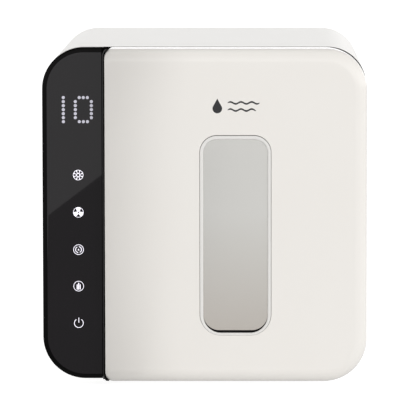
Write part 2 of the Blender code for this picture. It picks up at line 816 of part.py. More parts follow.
def build_power_and_switch():
    for name, look, *spans in INSIDE_BOXES:
        piece(name, look, box(*spans))
    capacitor = rod("x", (-132.1, 8, 96), 9, 30)
    piece("filter_capacitor", "capacitor", capacitor, smooth=True)
    build_power_inlet()
    build_mains_wire()
    centre = (SWITCH_X, -111.0, SWITCH_Z)
    plunger = rod("y", centre, 2.4, 14.6, 12)
    piece("switch_plunger", "plunger", plunger, smooth=True, pivot=centre)


# ---------------------------------------------------------------- hinge
def build_hinges():
    barrel_length = 12
    half_barrel = barrel_length / 2
    for tag, z in HINGE_HEIGHTS.items():
        centre = (HINGE_X, HINGE_Y, z)
        plate = box((139, 153), (-116.6, -114.3), (z - 12, z + 12))
        bracket = piece("hinge_bracket_" + tag, "hinge bracket", plate)
        arm = box((149, 153), (HINGE_Y + 4.05, -115.4), (z - half_barrel, z + half_barrel))
        join(bracket, "bracket_arm_" + tag, arm)
        join(bracket, "bracket_barrel_" + tag, tube("z", centre, 3.6, 4.7, barrel_length, 24))

        bush = tube("z", centre, 1.8, 3.3, barrel_length)
        piece("hinge_bush_" + tag, "hinge bush", bush, smooth=True)
        pin = rod("z", centre, 1.5, 28)
        piece("hinge_pin_" + tag, "hinge pin", pin, smooth=True, pivot=centre)


def hinge_notches():
    """Room in the door for the bracket barrels."""
    x_span = (HINGE_X - 5.6, BODY_RIGHT + 4)
    y_span = (HINGE_Y - 5.5, DOOR_BACK + 3)
    return [box(x_span, y_span, (z - 7, z + 7)) for z in HINGE_HEIGHTS.values()]


# ---------------------------------------------------------------- door
def build_door_cover():
    """A shell open to the back, its front edge rolled over, with bosses for the hinge pins."""
    roll_steps = 5
    rim = cover_outline(0, 0)
    inside = cover_outline(COVER_SHELL, COVER_SHELL)
    inside_front = cover_outline(COVER_SHELL + ROLL_IN, COVER_SHELL + ROLL_LEFT)
    rings = [
        at_y(inside_front, DOOR_FRONT + COVER_SHELL),
        at_y(inside, DOOR_FRONT + ROLL_DEEP + 1),
        at_y(inside, COVER_BACK),
        at_y(rim, COVER_BACK),
    ]
    for k in range(roll_steps + 1):
        angle = math.radians(90 * k / roll_steps)
        drawn_in, depth = 1 - math.cos(angle), 1 - math.sin(angle)
        outline = cover_outline(ROLL_IN * drawn_in, ROLL_LEFT * drawn_in)
        rings.append(at_y(outline, DOOR_FRONT + ROLL_DEEP * depth))
    cover = piece("door_cover", "door cover", loft(rings), smooth=True, pivot=DOOR_PIVOT)

    heights = HINGE_HEIGHTS.values()
    join(cover, "cover_bosses", *[
        box((141, 154.6), (-135, COVER_BACK - 0.1), (z - 17, z + 17)) for z in heights
    ])
    window = prism(window_outline(RING, 0.35), DOOR_FRONT - 5, DOOR_FRONT + 10)
    cut(cover, "cut_cover_window", window)
    cut(cover, "cut_cover_notches", *hinge_notches())
    cut(cover, "cut_cover_bores", *[
        rod("z", (HINGE_X, HINGE_Y, z), 1.8, 28.6) for z in heights
    ])


def build_door_frame():
    """Black back frame with the strip that shows beside the column."""
    outer = round_rect(
        (DOOR_LEFT, BODY_RIGHT, BODY_BOTTOM, BODY_TOP), [0.8, RADIUS_BR, RADIUS_TR, 0.8]
    )
    opening = round_rect(shrink(CHAMBER, -4.3), CHAMBER_RADIUS + 2)
    body = ring_prism(outer, opening, COVER_BACK + GAP, DOOR_BACK)
    frame = piece("door_frame", "door frame", body, smooth=True, pivot=DOOR_PIVOT)

    # the strip follows the cover's left side into half of each left corner
    strip_outer, strip_inner = cover_outline(-2.0, -2.0, 8), cover_outline(-0.8, -0.8, 8)
    outline = (
        strip_outer[-4:] + strip_outer[:4] + (strip_inner[-4:] + strip_inner[:4])[::-1]
    )
    join(frame, "frame_strip", prism(outline, STRIP_FRONT, DOOR_BACK - 1.2))
    cut(frame, "cut_frame_notches", *hinge_notches())

    # a bevel on the back edge at the hinge side
    bevel = spoke(HINGE_X, HINGE_Y, 54, 7.0, 13.0, 6)
    cut(frame, "cut_frame_edge", prism(bevel, 0, 330, at_z))


def build_door_liner():
    """Inner door panel with a raised field and a well around the window."""
    panel = round_rect(shrink(CHAMBER, -4), CHAMBER_RADIUS + 1.7, 5)
    field = round_rect(shrink(CHAMBER, 12), 8, 5)
    field_top = round_rect(shrink(CHAMBER, 14), 7, 5)
    body = loft([
        at_y(field, DOOR_BACK - 1.5),
        at_y(panel, DOOR_BACK - 1.5),
        at_y(panel, DOOR_BACK - 0.3),
        at_y(field, DOOR_BACK - 0.3),
        at_y(field_top, DOOR_BACK + 1.7),
    ])
    liner = piece("door_liner", "door liner", body, smooth=True, pivot=DOOR_PIVOT)
    join(liner, "liner_well", prism(window_outline(PANE, 1.5), -141.0, DOOR_BACK - 0.8))
    cut(liner, "cut_liner_well", prism(window_outline(PANE, -0.5), -145.0, DOOR_BACK + 6))


def build_window():
    """Bezel, pane and gasket, from front to back."""
    front, back, ledge = -149.95, -143.5, -147.9
    # base size, growth, y
    stations = [
        (RING, 0, back), (RING, 0, -149.7), (RING, -0.5, front), (PANE, 0.9, front),
        (PANE, 0, -148.6), (PANE, 0, ledge), (PANE, 2.2, ledge), (PANE, 2.2, back),
    ]
    rings = [at_y(window_outline(size, grow), y) for size, grow, y in stations]
    bezel = loft(rings, closed=True)
    piece("window_bezel", "bezel", bezel, smooth=True, pivot=DOOR_PIVOT)

    pane = prism(window_outline(PANE, 1.9), -147.6, -144.6)
    piece("window_pane", "pane", pane, smooth=True, pivot=DOOR_PIVOT)

    gasket = ring_prism(window_outline(PANE, 1.8), window_outline(PANE, -0.5), -144.3, -141.3)
    piece("window_gasket", "gasket", gasket, smooth=True, pivot=DOOR_PIVOT)


def build_door_seal():
    """A rubber ring on the door's back, tapering towards the chamber."""
    root, tip = DOOR_BACK + GAP, -114.6
    # chamber growth, y
    stations = [(10.5, root), (9.3, tip), (6.7, tip), (5.5, root)]
    seal = loft([at_y(chamber_outline(grow), y) for grow, y in stations], closed=True)
    piece("door_seal", "seal", seal, smooth=True, pivot=DOOR_PIVOT)


def build_door_magnet():
    block = box((-91.6, -85.8), (-129.0, COVER_BACK), (170, 198))
    piece("door_magnet", "magnet", block, pivot=DOOR_PIVOT)


clear_scene()
for build in (
    build_outer_case, build_front_frame, build_rear_cover, build_feet,
    build_column,
    build_chamber_liner, build_shelf_rails, build_lamps,
    build_upper_shelf, build_lower_rack, build_drip_tray,
    build_duct_and_heater, build_fan_housing, build_impeller,
    build_filter_cover, build_air_filter,
    build_power_and_switch,
    build_hinges,
    build_door_cover, build_door_frame, build_door_liner,
    build_window, build_door_seal, build_door_magnet,
):
    build()
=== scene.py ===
"""Visual model of a countertop bottle sterilizer: white case, black touch column, side hinged door with a tall
mirrored window, and the steel chamber behind it. Lengths below are millimetres unless they say otherwise."""

import math

import bmesh
import bpy
from mathutils import Matrix, Vector


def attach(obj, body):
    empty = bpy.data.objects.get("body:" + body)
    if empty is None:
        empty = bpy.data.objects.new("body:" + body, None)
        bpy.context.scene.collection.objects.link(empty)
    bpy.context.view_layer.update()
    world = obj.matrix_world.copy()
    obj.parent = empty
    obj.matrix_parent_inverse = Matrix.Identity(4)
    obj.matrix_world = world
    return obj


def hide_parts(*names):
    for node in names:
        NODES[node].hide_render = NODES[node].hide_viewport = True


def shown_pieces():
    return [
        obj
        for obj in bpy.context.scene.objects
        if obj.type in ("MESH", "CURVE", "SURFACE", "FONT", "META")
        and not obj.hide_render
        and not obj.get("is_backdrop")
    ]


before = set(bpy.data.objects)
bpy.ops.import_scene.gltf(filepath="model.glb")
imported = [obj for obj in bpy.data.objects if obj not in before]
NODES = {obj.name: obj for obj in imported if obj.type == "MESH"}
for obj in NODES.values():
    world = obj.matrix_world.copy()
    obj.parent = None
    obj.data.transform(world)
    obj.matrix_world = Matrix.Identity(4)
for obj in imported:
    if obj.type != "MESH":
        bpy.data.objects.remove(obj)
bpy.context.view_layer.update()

MM = 0.001
GAP = 0.3

BODY_X = 156.0
BODY_Z0, BODY_Z1 = 5.5, 326.8
CASE_Y0, CASE_Y1 = -117.5, 144.0
CASE_WALL = 2.5
R_BL, R_BR, R_TR, R_TL = 41.0, 41.0, 37.5, 39.5
REAR_Y1 = 147.0
FRAME_Y = -114.0
COL_X1 = -98.4
COL_BACK, COL_FRONT, GLASS_FRONT = -117.8, -130.9, -133.0
DOOR_X0, COVER_X0 = -97.5, -95.5
DOOR_FRONT, DOOR_BACK, COVER_BACK = -149.93, -118.6, -121.5
SHELL = 2.4
STRIP_FRONT = -145.5
ROLL_IN, ROLL_LEFT, ROLL_DEEP = 13.0, 0.6, 9.0
HINGE = (151.0, -125.5)
HINGE_Z = (60.0, 268.0)
WIN_X, WIN_Z = 29.85, 147.55
RING_W, RING_H, RING_R = 68.0, 192.4, 16.3
PANE_W, PANE_H, PANE_R = 61.6, 186.2, 12.8
WIN_LOW = 3.9
CH_X0, CH_X1 = -78.0, 126.0
CH_Z0, CH_Z1 = 36.0, 298.0
CH_Y0, CH_Y1 = -110.7, 88.0
CH_R = 12.0
SHEET = 1.0
FAN_X, FAN_Z = 24.0, 152.0
KEY_X = -121.5


# ---------------------------------------------------------------- materials
def tree(name):
    m = bpy.data.materials.new(name)
    m.use_nodes = True
    nt = m.node_tree
    nt.nodes.clear()
    out = nt.nodes.new("ShaderNodeOutputMaterial")
    bsdf = nt.nodes.new("ShaderNodeBsdfPrincipled")
    nt.links.new(bsdf.outputs[0], out.inputs[0])
    at = nt.nodes.new("ShaderNodeTexCoord").outputs["Object"]
    return m, nt, bsdf, at


def noise(nt, at, scale, detail=2.0, stretch=None, rough=0.5):
    if stretch:
        mapping = nt.nodes.new("ShaderNodeMapping")
        mapping.inputs["Scale"].default_value = stretch
        nt.links.new(at, mapping.inputs["Vector"])
        at = mapping.outputs[0]
    n = nt.nodes.new("ShaderNodeTexNoise")
    n.inputs["Scale"].default_value = scale
    n.inputs["Detail"].default_value = detail
    n.inputs["Roughness"].default_value = rough
    nt.links.new(at, n.inputs["Vector"])
    return n.outputs["Fac"]


def spread(nt, fac, lo, hi, a=0.25, b=0.75):
    r = nt.nodes.new("ShaderNodeMapRange")
    r.inputs["From Min"].default_value = a
    r.inputs["From Max"].default_value = b
    r.inputs["To Min"].default_value = lo
    r.inputs["To Max"].default_value = hi
    nt.links.new(fac, r.inputs["Value"])
    return r.outputs["Result"]


def blend_rgb(nt, fac, one, two):
    m = nt.nodes.new("ShaderNodeMix")
    m.data_type = "RGBA"
    nt.links.new(fac, m.inputs["Factor"])
    m.inputs["A"].default_value = (*one, 1)
    m.inputs["B"].default_value = (*two, 1)
    return m.outputs["Result"]


def bumps(nt, bsdf, parts):
    """parts: (height socket, distance in metres) layered one over the other."""
    last = None
    for height, distance in parts:
        b = nt.nodes.new("ShaderNodeBump")
        b.inputs["Strength"].default_value = 1.0
        b.inputs["Distance"].default_value = distance
        nt.links.new(height, b.inputs["Height"])
        if last is not None:
            nt.links.new(last, b.inputs["Normal"])
        last = b.outputs["Normal"]
    nt.links.new(last, bsdf.inputs["Normal"])


def shade(rgb, k):
    return tuple(max(0.0, min(1.0, c * k)) for c in rgb)


def plastic(name, rgb, rough=0.3, vary=0.012, smudge=0.03, peel=2e-6, grain=0.0, coat=0.0, ior_level=0.5, warm=0.0, shift=None):
    m, nt, b, at = tree(name)
    if shift:
        mapping = nt.nodes.new("ShaderNodeMapping")
        mapping.inputs["Location"].default_value = shift
        nt.links.new(at, mapping.inputs["Vector"])
        at = mapping.outputs[0]
    cloud = noise(nt, at, 9.0, 3.0)
    lo = tuple(c * (1 - vary) * (1 - warm * i * 0.5) for i, c in enumerate(rgb))
    nt.links.new(blend_rgb(nt, spread(nt, cloud, 0, 1), lo, shade(rgb, 1 + vary)), b.inputs["Base Color"])
    nt.links.new(spread(nt, noise(nt, at, 26.0, 4.0), rough - smudge, rough + smudge), b.inputs["Roughness"])
    b.inputs["Specular IOR Level"].default_value = ior_level
    b.inputs["Coat Weight"].default_value = coat
    b.inputs["Coat Roughness"].default_value = 0.08
    layers = [(noise(nt, at, 160.0, 2.0), peel)]
    if grain:
        layers.append((noise(nt, at, 1900.0, 2.0), grain))
    bumps(nt, b, layers)
    return m


def steel(name, rgb=(0.62, 0.62, 0.61), rough=0.27, along="x", brush=4e-7, vary=0.04):
    """Brushed sheet: fine streaks that run along one axis."""
    m, nt, b, at = tree(name)
    stretch = {"x": (1.0, 60.0, 60.0), "y": (60.0, 1.0, 60.0), "z": (60.0, 60.0, 1.0)}[along]
    streak = noise(nt, at, 22.0, 4.0, stretch)
    cloud = noise(nt, at, 14.0, 3.0)
    nt.links.new(blend_rgb(nt, spread(nt, streak, 0, 1), shade(rgb, 1 - vary), shade(rgb, 1 + vary)), b.inputs["Base Color"])
    add = nt.nodes.new("ShaderNodeMath")
    add.operation = "ADD"
    nt.links.new(spread(nt, streak, rough - 0.06, rough + 0.06), add.inputs[0])
    nt.links.new(spread(nt, cloud, -0.03, 0.03), add.inputs[1])
    nt.links.new(add.outputs[0], b.inputs["Roughness"])
    b.inputs["Metallic"].default_value = 1.0
    bumps(nt, b, [(streak, brush * 40), (cloud, 4e-6)])
    return m


def wire(name, rgb=(0.66, 0.66, 0.65), rough=0.2):
    """Drawn and electropolished wire: bright, with faint draw marks and duller spots at the welds."""
    m, nt, b, at = tree(name)
    cloud = noise(nt, at, 60.0, 3.0)
    nt.links.new(blend_rgb(nt, spread(nt, cloud, 0, 1), shade(rgb, 0.93), shade(rgb, 1.05)), b.inputs["Base Color"])
    nt.links.new(spread(nt, cloud, rough - 0.05, rough + 0.08), b.inputs["Roughness"])
    b.inputs["Metallic"].default_value = 1.0
    bumps(nt, b, [(noise(nt, at, 700.0, 2.0), 6e-6)])
    return m


def rubber(name, rgb, rough=0.75):
    m, nt, b, at = tree(name)
    cloud = noise(nt, at, 40.0, 4.0)
    nt.links.new(blend_rgb(nt, spread(nt, cloud, 0, 1), shade(rgb, 0.85), shade(rgb, 1.18)), b.inputs["Base Color"])
    nt.links.new(spread(nt, noise(nt, at, 90.0, 3.0), rough - 0.08, rough + 0.08), b.inputs["Roughness"])
    b.inputs["Specular IOR Level"].default_value = 0.35
    bumps(nt, b, [(noise(nt, at, 1500.0, 3.0), 2e-5)])
    return m


def lit(name, rgb, strength, rough=0.4):
    """A glowing mark behind the glass, a little uneven like a real backlight."""
    m, nt, b, at = tree(name)
    cloud = noise(nt, at, 300.0, 2.0)
    colour = blend_rgb(nt, spread(nt, cloud, 0, 1), shade(rgb, 0.94), rgb)
    nt.links.new(colour, b.inputs["Base Color"])
    nt.links.new(colour, b.inputs["Emission Color"])
    nt.links.new(spread(nt, cloud, strength * 0.93, strength * 1.05), b.inputs["Emission Strength"])
    b.inputs["Roughness"].default_value = rough
    return m


M = {}
M["door_white"] = plastic("door_white", (0.850, 0.823, 0.783), 0.25, 0.008, 0.02, 1.5e-6, coat=0.9, warm=0.01)
M["case_white"] = plastic("case_white", (0.835, 0.815, 0.78), 0.30, 0.004, 0.010, 2e-6, grain=3e-6, coat=0.1, shift=(5.37, 2.21, 7.13))
M["rear_white"] = plastic("rear_white", (0.80, 0.785, 0.75), 0.42, 0.014, 0.03, 3e-6, grain=1.2e-5)
M["inner_white"] = plastic("inner_white", (0.78, 0.77, 0.745), 0.40, 0.012, 0.03, 3e-6, grain=6e-6)
M["ring_white"] = plastic("ring_white", (0.785, 0.77, 0.745), 0.24, 0.008, 0.02, 1e-6, coat=0.3)
M["black_gloss"] = plastic("black_gloss", (0.0035, 0.0032, 0.0032), 0.25, 0.10, 0.04, 2e-6, ior_level=0.07)
M["panel_glass"] = plastic("panel_glass", (0.0066, 0.0048, 0.0066), 0.018, 0.10, 0.006, 0.1e-6)
M["black_matte"] = plastic("black_matte", (0.0040, 0.0038, 0.0038), 0.75, 0.12, 0.05, 2e-6, grain=4e-6, ior_level=0.0)
M["strip_gloss"] = plastic("strip_gloss", (0.006, 0.0058, 0.0055), 0.16, 0.10, 0.03, 1e-6, ior_level=0.5)
M["black_plastic"] = plastic("black_plastic", (0.016, 0.0155, 0.0155), 0.42, 0.12, 0.05, 3e-6, grain=1.2e-5)
M["hinge_black"] = plastic("hinge_black", (0.03, 0.03, 0.03), 0.35, 0.1, 0.05, 2e-6, grain=4e-6)
M["rubber_black"] = rubber("rubber_black", (0.022, 0.022, 0.022))
M["rubber_grey"] = rubber("rubber_grey", (0.20, 0.205, 0.21), 0.6)
M["steel_sheet_x"] = steel("steel_sheet_x", (0.64, 0.64, 0.63), 0.26, "x")
M["steel_sheet_y"] = steel("steel_sheet_y", (0.64, 0.64, 0.63), 0.26, "y")
M["steel_sheet_z"] = steel("steel_sheet_z", (0.64, 0.64, 0.63), 0.24, "z")
M["steel_plain"] = steel("steel_plain", (0.55, 0.55, 0.55), 0.32, "z", 2e-7)
M["steel_wire"] = wire("steel_wire")
M["screw_steel"] = wire("screw_steel", (0.45, 0.45, 0.46), 0.3)
M["digit_glow"] = lit("digit_glow", (0.62, 0.61, 0.70), 0.28)
M["icon_glow"] = lit("icon_glow", (0.78, 0.76, 0.84), 1.05)
M["lamp_socket"] = plastic("lamp_socket", (0.78, 0.77, 0.73), 0.45, 0.02, 0.04, 3e-6, grain=8e-6)
M["display"] = plastic("display", (0.05, 0.05, 0.055), 0.35, 0.1, 0.03)
M["relay_black"] = plastic("relay_black", (0.02, 0.02, 0.022), 0.4, 0.1, 0.04, grain=6e-6)
M["plunger_red"] = plastic("plunger_red", (0.50, 0.06, 0.04), 0.38, 0.05, 0.04, grain=4e-6)
M["bush"] = plastic("bush", (0.72, 0.71, 0.66), 0.45, 0.03, 0.04, grain=4e-6)
M["cable_grey"] = plastic("cable_grey", (0.32, 0.32, 0.34), 0.5, 0.05, 0.04, grain=6e-6)
M["mark_grey"] = plastic("mark_grey", (0.016, 0.016, 0.018), 0.4, 0.1, 0.04, grain=3e-6)


def make_board():
    m, nt, b, at = tree("board")
    grid = nt.nodes.new("ShaderNodeTexBrick")
    grid.inputs["Scale"].default_value = 160.0
    grid.inputs["Mortar Size"].default_value = 0.035
    grid.inputs["Color1"].default_value = (0.015, 0.12, 0.05, 1)
    grid.inputs["Color2"].default_value = (0.02, 0.15, 0.06, 1)
    grid.inputs["Mortar"].default_value = (0.28, 0.30, 0.14, 1)
    spun = nt.nodes.new("ShaderNodeMapping")
    spun.inputs["Rotation"].default_value = (math.radians(90), 0, 0)
    nt.links.new(at, spun.inputs["Vector"])
    nt.links.new(spun.outputs[0], grid.inputs["Vector"])
    nt.links.new(grid.outputs["Color"], b.inputs["Base Color"])
    nt.links.new(spread(nt, noise(nt, at, 200.0), 0.3, 0.5), b.inputs["Roughness"])
    bumps(nt, b, [(grid.outputs["Fac"], 2e-5)])
    return m


def make_mirror():
    """Mirror coated pane: grey metal under a clear coat, with a painted reflection towards its foot that stands in for
    the darker floor it reflects.
    """
    m, nt, b, at = tree("mirror_pane")
    split = nt.nodes.new("ShaderNodeSeparateXYZ")
    nt.links.new(at, split.inputs[0])
    # painted reflection: the base colour turns darker and browner towards the foot, for the shadowed floor near the
    # object
    low = spread(nt, split.outputs["Z"], 0.0, 1.0, 0.045, 0.17)
    nt.links.new(blend_rgb(nt, low, (0.555, 0.515, 0.470), (0.725, 0.715, 0.685)), b.inputs["Base Color"])
    b.inputs["Metallic"].default_value = 0.82
    nt.links.new(spread(nt, noise(nt, at, 40.0, 3.0), 0.17, 0.22), b.inputs["Roughness"])
    b.inputs["Coat Weight"].default_value = 0.2
    bumps(nt, b, [(noise(nt, at, 30.0, 2.0), 3e-6)])
    return m


def make_film():
    m, nt, b, at = tree("film")
    wave = nt.nodes.new("ShaderNodeTexWave")
    wave.inputs["Scale"].default_value = 120.0
    wave.inputs["Distortion"].default_value = 1.0
    nt.links.new(at, wave.inputs["Vector"])
    nt.links.new(blend_rgb(nt, spread(nt, wave.outputs["Fac"], 0, 1, 0.7, 0.8), (0.45, 0.22, 0.05), (0.72, 0.42, 0.2)), b.inputs["Base Color"])
    b.inputs["Roughness"].default_value = 0.3
    bumps(nt, b, [(wave.outputs["Fac"], 1e-5)])
    return m


def make_lamp():
    """Quartz tube, faintly violet, brighter along its middle."""
    m, nt, b, at = tree("lamp_glass")
    cloud = noise(nt, at, 30.0, 3.0)
    colour = blend_rgb(nt, spread(nt, cloud, 0, 1), (0.62, 0.66, 0.90), (0.74, 0.78, 0.97))
    nt.links.new(colour, b.inputs["Base Color"])
    nt.links.new(colour, b.inputs["Emission Color"])
    b.inputs["Emission Strength"].default_value = 0.25
    b.inputs["Coat Weight"].default_value = 1.0
    nt.links.new(spread(nt, cloud, 0.06, 0.14), b.inputs["Roughness"])
    bumps(nt, b, [(noise(nt, at, 50.0, 2.0), 6e-6)])
    return m


def make_tray():
    """Moulded polypropylene, a little milky."""
    m, nt, b, at = tree("tray_clear")
    cloud = noise(nt, at, 20.0, 3.0)
    nt.links.new(blend_rgb(nt, spread(nt, cloud, 0, 1), (0.74, 0.75, 0.76), (0.82, 0.83, 0.84)), b.inputs["Base Color"])
    b.inputs["Transmission Weight"].default_value = 0.35
    b.inputs["IOR"].default_value = 1.49
    nt.links.new(spread(nt, cloud, 0.32, 0.42), b.inputs["Roughness"])
    bumps(nt, b, [(noise(nt, at, 1200.0, 2.0), 6e-6)])
    return m


def make_coil(name, one, two, scale, rough=0.45):
    m, nt, b, at = tree(name)
    wave = nt.nodes.new("ShaderNodeTexWave")
    wave.bands_direction = "Z"
    wave.inputs["Scale"].default_value = scale
    wave.inputs["Distortion"].default_value = 0.3
    nt.links.new(at, wave.inputs["Vector"])
    nt.links.new(blend_rgb(nt, wave.outputs["Fac"], one, two), b.inputs["Base Color"])
    nt.links.new(spread(nt, noise(nt, at, 80.0), rough - 0.08, rough + 0.08), b.inputs["Roughness"])
    bumps(nt, b, [(wave.outputs["Fac"], 1e-4)])
    return m


def make_filter():
    m, nt, b, at = tree("filter_media")
    fibre = noise(nt, at, 420.0, 6.0, (1.0, 1.0, 3.0), 0.7)
    nt.links.new(blend_rgb(nt, spread(nt, fibre, 0, 1, 0.35, 0.65), (0.60, 0.60, 0.57), (0.84, 0.84, 0.81)), b.inputs["Base Color"])
    b.inputs["Roughness"].default_value = 0.95
    b.inputs["Specular IOR Level"].default_value = 0.2
    bumps(nt, b, [(fibre, 2e-4)])
    return m


M["board"] = make_board()
M["mirror_pane"] = make_mirror()
M["film"] = make_film()
M["lamp_glass"] = make_lamp()
M["tray_clear"] = make_tray()
M["transformer"] = make_coil("transformer", (0.30, 0.18, 0.03), (0.55, 0.38, 0.08), 90.0)
M["heater"] = make_coil("heater", (0.38, 0.37, 0.36), (0.66, 0.65, 0.63), 160.0, 0.35)
M["capacitor"] = plastic("capacitor", (0.02, 0.035, 0.12), 0.3, 0.1, 0.04, coat=0.3)
M["filter_media"] = make_filter()


def dress(obj, *mats):
    obj.data.materials.clear()
    for m in mats:
        obj.data.materials.append(M[m])


# ---------------------------------------------------------------- mesh helpers
def finish(name, bm, mats, body, nodes=(), angle=32):
    """A piece from bm, whose points are millimetres in the row frame."""
    bmesh.ops.recalc_face_normals(bm, faces=bm.faces)
    bmesh.ops.scale(bm, verts=bm.verts, vec=(MM, MM, MM))
    mesh = bpy.data.meshes.new(name)
    bm.to_mesh(mesh)
    bm.free()
    obj = bpy.data.objects.new(name, mesh)
    bpy.context.scene.collection.objects.link(obj)
    smooth(obj, angle)
    mats = [mats] if isinstance(mats, str) else mats
    dress(obj, *mats)
    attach(obj, body)
    if nodes:
        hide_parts(*nodes)
    return obj


def smooth(obj, angle=32):
    for poly in obj.data.polygons:
        poly.use_smooth = True
    obj.data.set_sharp_from_angle(angle=math.radians(angle))


def piece(name, build, mats, body, nodes=(), angle=32):
    bm = bmesh.new()
    build(bm)
    return finish(name, bm, mats, body, nodes, angle)


def settle(obj):
    """Applies obj's modifiers to its mesh."""
    graph = bpy.context.evaluated_depsgraph_get()
    made = bpy.data.meshes.new_from_object(obj.evaluated_get(graph))
    old = obj.data
    obj.modifiers.clear()
    obj.data = made
    made.name = old.name
    bpy.data.meshes.remove(old)


def change(obj, build, operation="DIFFERENCE", angle=32):
    """Cuts build's shape from obj, or joins it, and keeps the result as the mesh."""
    bm = bmesh.new()
    build(bm)
    bmesh.ops.recalc_face_normals(bm, faces=bm.faces)
    bmesh.ops.scale(bm, verts=bm.verts, vec=(MM, MM, MM))
    mesh = bpy.data.meshes.new("tool")
    bm.to_mesh(mesh)
    bm.free()
    tool = bpy.data.objects.new("tool", mesh)
    bpy.context.scene.collection.objects.link(tool)
    mod = obj.modifiers.new("op", "BOOLEAN")
    mod.operation = operation
    mod.solver = "EXACT"
    mod.object = tool
    bpy.context.view_layer.update()
    settle(obj)
    bpy.data.objects.remove(tool, do_unlink=True)
    bpy.data.meshes.remove(mesh)
    smooth(obj, angle)


def soften(obj, width, segments=2, angle=40):
    """Small rounded edges, kept in the mesh."""
    mod = obj.modifiers.new("edge", "BEVEL")
    mod.width = width * MM
    mod.segments = segments
    mod.limit_method = "ANGLE"
    mod.angle_limit = math.radians(angle)
    mod.harden_normals = False
    bpy.context.view_layer.update()
    settle(obj)
    smooth(obj, 32)


def round_rect(x0, x1, z0, z1, radii, steps=16):
    if isinstance(radii, (int, float)):
        radii = [radii] * 4
    centres = [(x0, z0, 1, 1, 180), (x1, z0, -1, 1, 270), (x1, z1, -1, -1, 0), (x0, z1, 1, -1, 90)]
    points = []
    for r, (x, z, sx, sz, start) in zip(radii, centres):
        for i in range(steps + 1):
            a = math.radians(start + 90 * i / steps)
            points.append((x + sx * r + r * math.cos(a), z + sz * r + r * math.sin(a)))
    return points


def at_y(outline, y):
    return [(x, y, z) for x, z in outline]


def at_z(outline, z):
    return [(x, y, z) for x, y in outline]


def loft(bm, rings, closed=False):
    verts = [[bm.verts.new(p) for p in ring] for ring in rings]
    n = len(verts[0])
    pairs = list(zip(verts, verts[1:]))
    if closed:
        pairs.append((verts[-1], verts[0]))
    for a, b in pairs:
        for i in range(n):
            j = (i + 1) % n
            bm.faces.new((a[i], a[j], b[j], b[i]))
    if not closed:
        bm.faces.new(verts[0])
        bm.faces.new(verts[-1])


def box(bm, x0, x1, y0, y1, z0, z1):
    made = bmesh.ops.create_cube(bm, size=1.0)["verts"]
    bmesh.ops.scale(bm, verts=made, vec=(x1 - x0, y1 - y0, z1 - z0))
    bmesh.ops.translate(bm, verts=made, vec=((x0 + x1) / 2, (y0 + y1) / 2, (z0 + z1) / 2))


TURN = {
    "x": Matrix.Rotation(math.radians(90), 3, "Y"),
    "y": Matrix.Rotation(math.radians(-90), 3, "X"),
    "z": Matrix.Identity(3),
}


def lathe(bm, axis, centre, profile, sides=48, closed=False):
    """A turned shape: profile is (radius, height along the axis) pairs."""
    rings = []
    for r, t in profile:
        rings.append([
            tuple(TURN[axis] @ Vector((r * math.cos(a), r * math.sin(a), t)) + Vector(centre))
            for a in (2 * math.pi * i / sides for i in range(sides))
        ])
    loft(bm, rings, closed)


def rod(bm, axis, centre, r, length, sides=32, edge=0.0):
    h = length / 2
    if edge:
        profile = [(r - edge, -h), (r - edge * 0.3, -h + edge * 0.3), (r, -h + edge), (r, h - edge), (r - edge * 0.3, h - edge * 0.3), (r - edge, h)]
    else:
        profile = [(r, -h), (r, h)]
    lathe(bm, axis, centre, profile, sides)


def tube(bm, axis, centre, r_in, r_out, length, sides=48, edge=0.2):
    h, e = length / 2, edge
    lathe(
        bm, axis, centre,
        [(r_out - e, -h), (r_out, -h + e), (r_out, h - e), (r_out - e, h), (r_in + e, h), (r_in, h - e), (r_in, -h + e), (r_in + e, -h)],
        sides, closed=True,
    )


def sweep(bm, path, r, sides=12, loop=False):
    pts = [Vector(p) for p in path]
    n = len(pts)
    rings = []
    for i, p in enumerate(pts):
        before = pts[(i - 1) % n] if loop or i else None
        after = pts[(i + 1) % n] if loop or i < n - 1 else None
        a = (p - before).normalized() if before is not None else None
        b = (after - p).normalized() if after is not None else None
        d = (a + b).normalized() if a is not None and b is not None else (a if b is None else b)
        up = Vector((0, 0, 1)) if abs(d.z) < 0.9 else Vector((0, 1, 0))
        side = d.cross(up).normalized()
        top = side.cross(d).normalized()
        rings.append([
            tuple(p + side * (r * math.cos(t)) + top * (r * math.sin(t)))
            for t in (2 * math.pi * (s + 0.5) / sides for s in range(sides))
        ])
    loft(bm, rings, closed=loop)


def body_outline(inset=0.0, steps=20):
    return round_rect(
        -BODY_X + inset, BODY_X - inset, BODY_Z0 + inset, BODY_Z1 - inset,
        [R_BL - inset, R_BR - inset, R_TR - inset, R_TL - inset], steps,
    )


def column_outline(inset=0.0, right=None, steps=20):
    right = inset if right is None else right
    r = 0.6
    return round_rect(
        -BODY_X + inset, COL_X1 - right, BODY_Z0 + 0.9 + inset, BODY_Z1 - inset,
        [R_BL - inset, r, r, R_TL - inset], steps,
    )


def cover_ring(edge, left, steps=20):
    r = max(1.0, 7.5 - left)
    return round_rect(
        COVER_X0 + left, BODY_X - edge, BODY_Z0 + edge, BODY_Z1 - 0.1 - edge,
        [r, R_BR - edge, R_TR + 1.5 - edge, r], steps,
    )


def door_outline(inset=0.0, steps=20):
    r = 0.8
    return round_rect(
        DOOR_X0 + inset, BODY_X - inset, BODY_Z0 + inset, BODY_Z1 - inset,
        [r, R_BR - inset, R_TR - inset, r], steps,
    )


def chamber_outline(grow=0.0, steps=12):
    return round_rect(CH_X0 - grow, CH_X1 + grow, CH_Z0 - grow, CH_Z1 + grow, CH_R + grow, steps)


def window_outline(w, h, r, steps=20, lift=0.0, drop=0.0):
    return round_rect(WIN_X - w / 2, WIN_X + w / 2, WIN_Z - h / 2 + lift, WIN_Z + h / 2 - drop, [r + WIN_LOW, r + WIN_LOW, r, r], steps)


def quarter(n):
    """(1 - cos, 1 - sin) over a quarter turn, for rounded edges."""
    for k in range(n + 1):
        a = math.radians(90 * k / n)
        yield 1 - math.cos(a), 1 - math.sin(a)


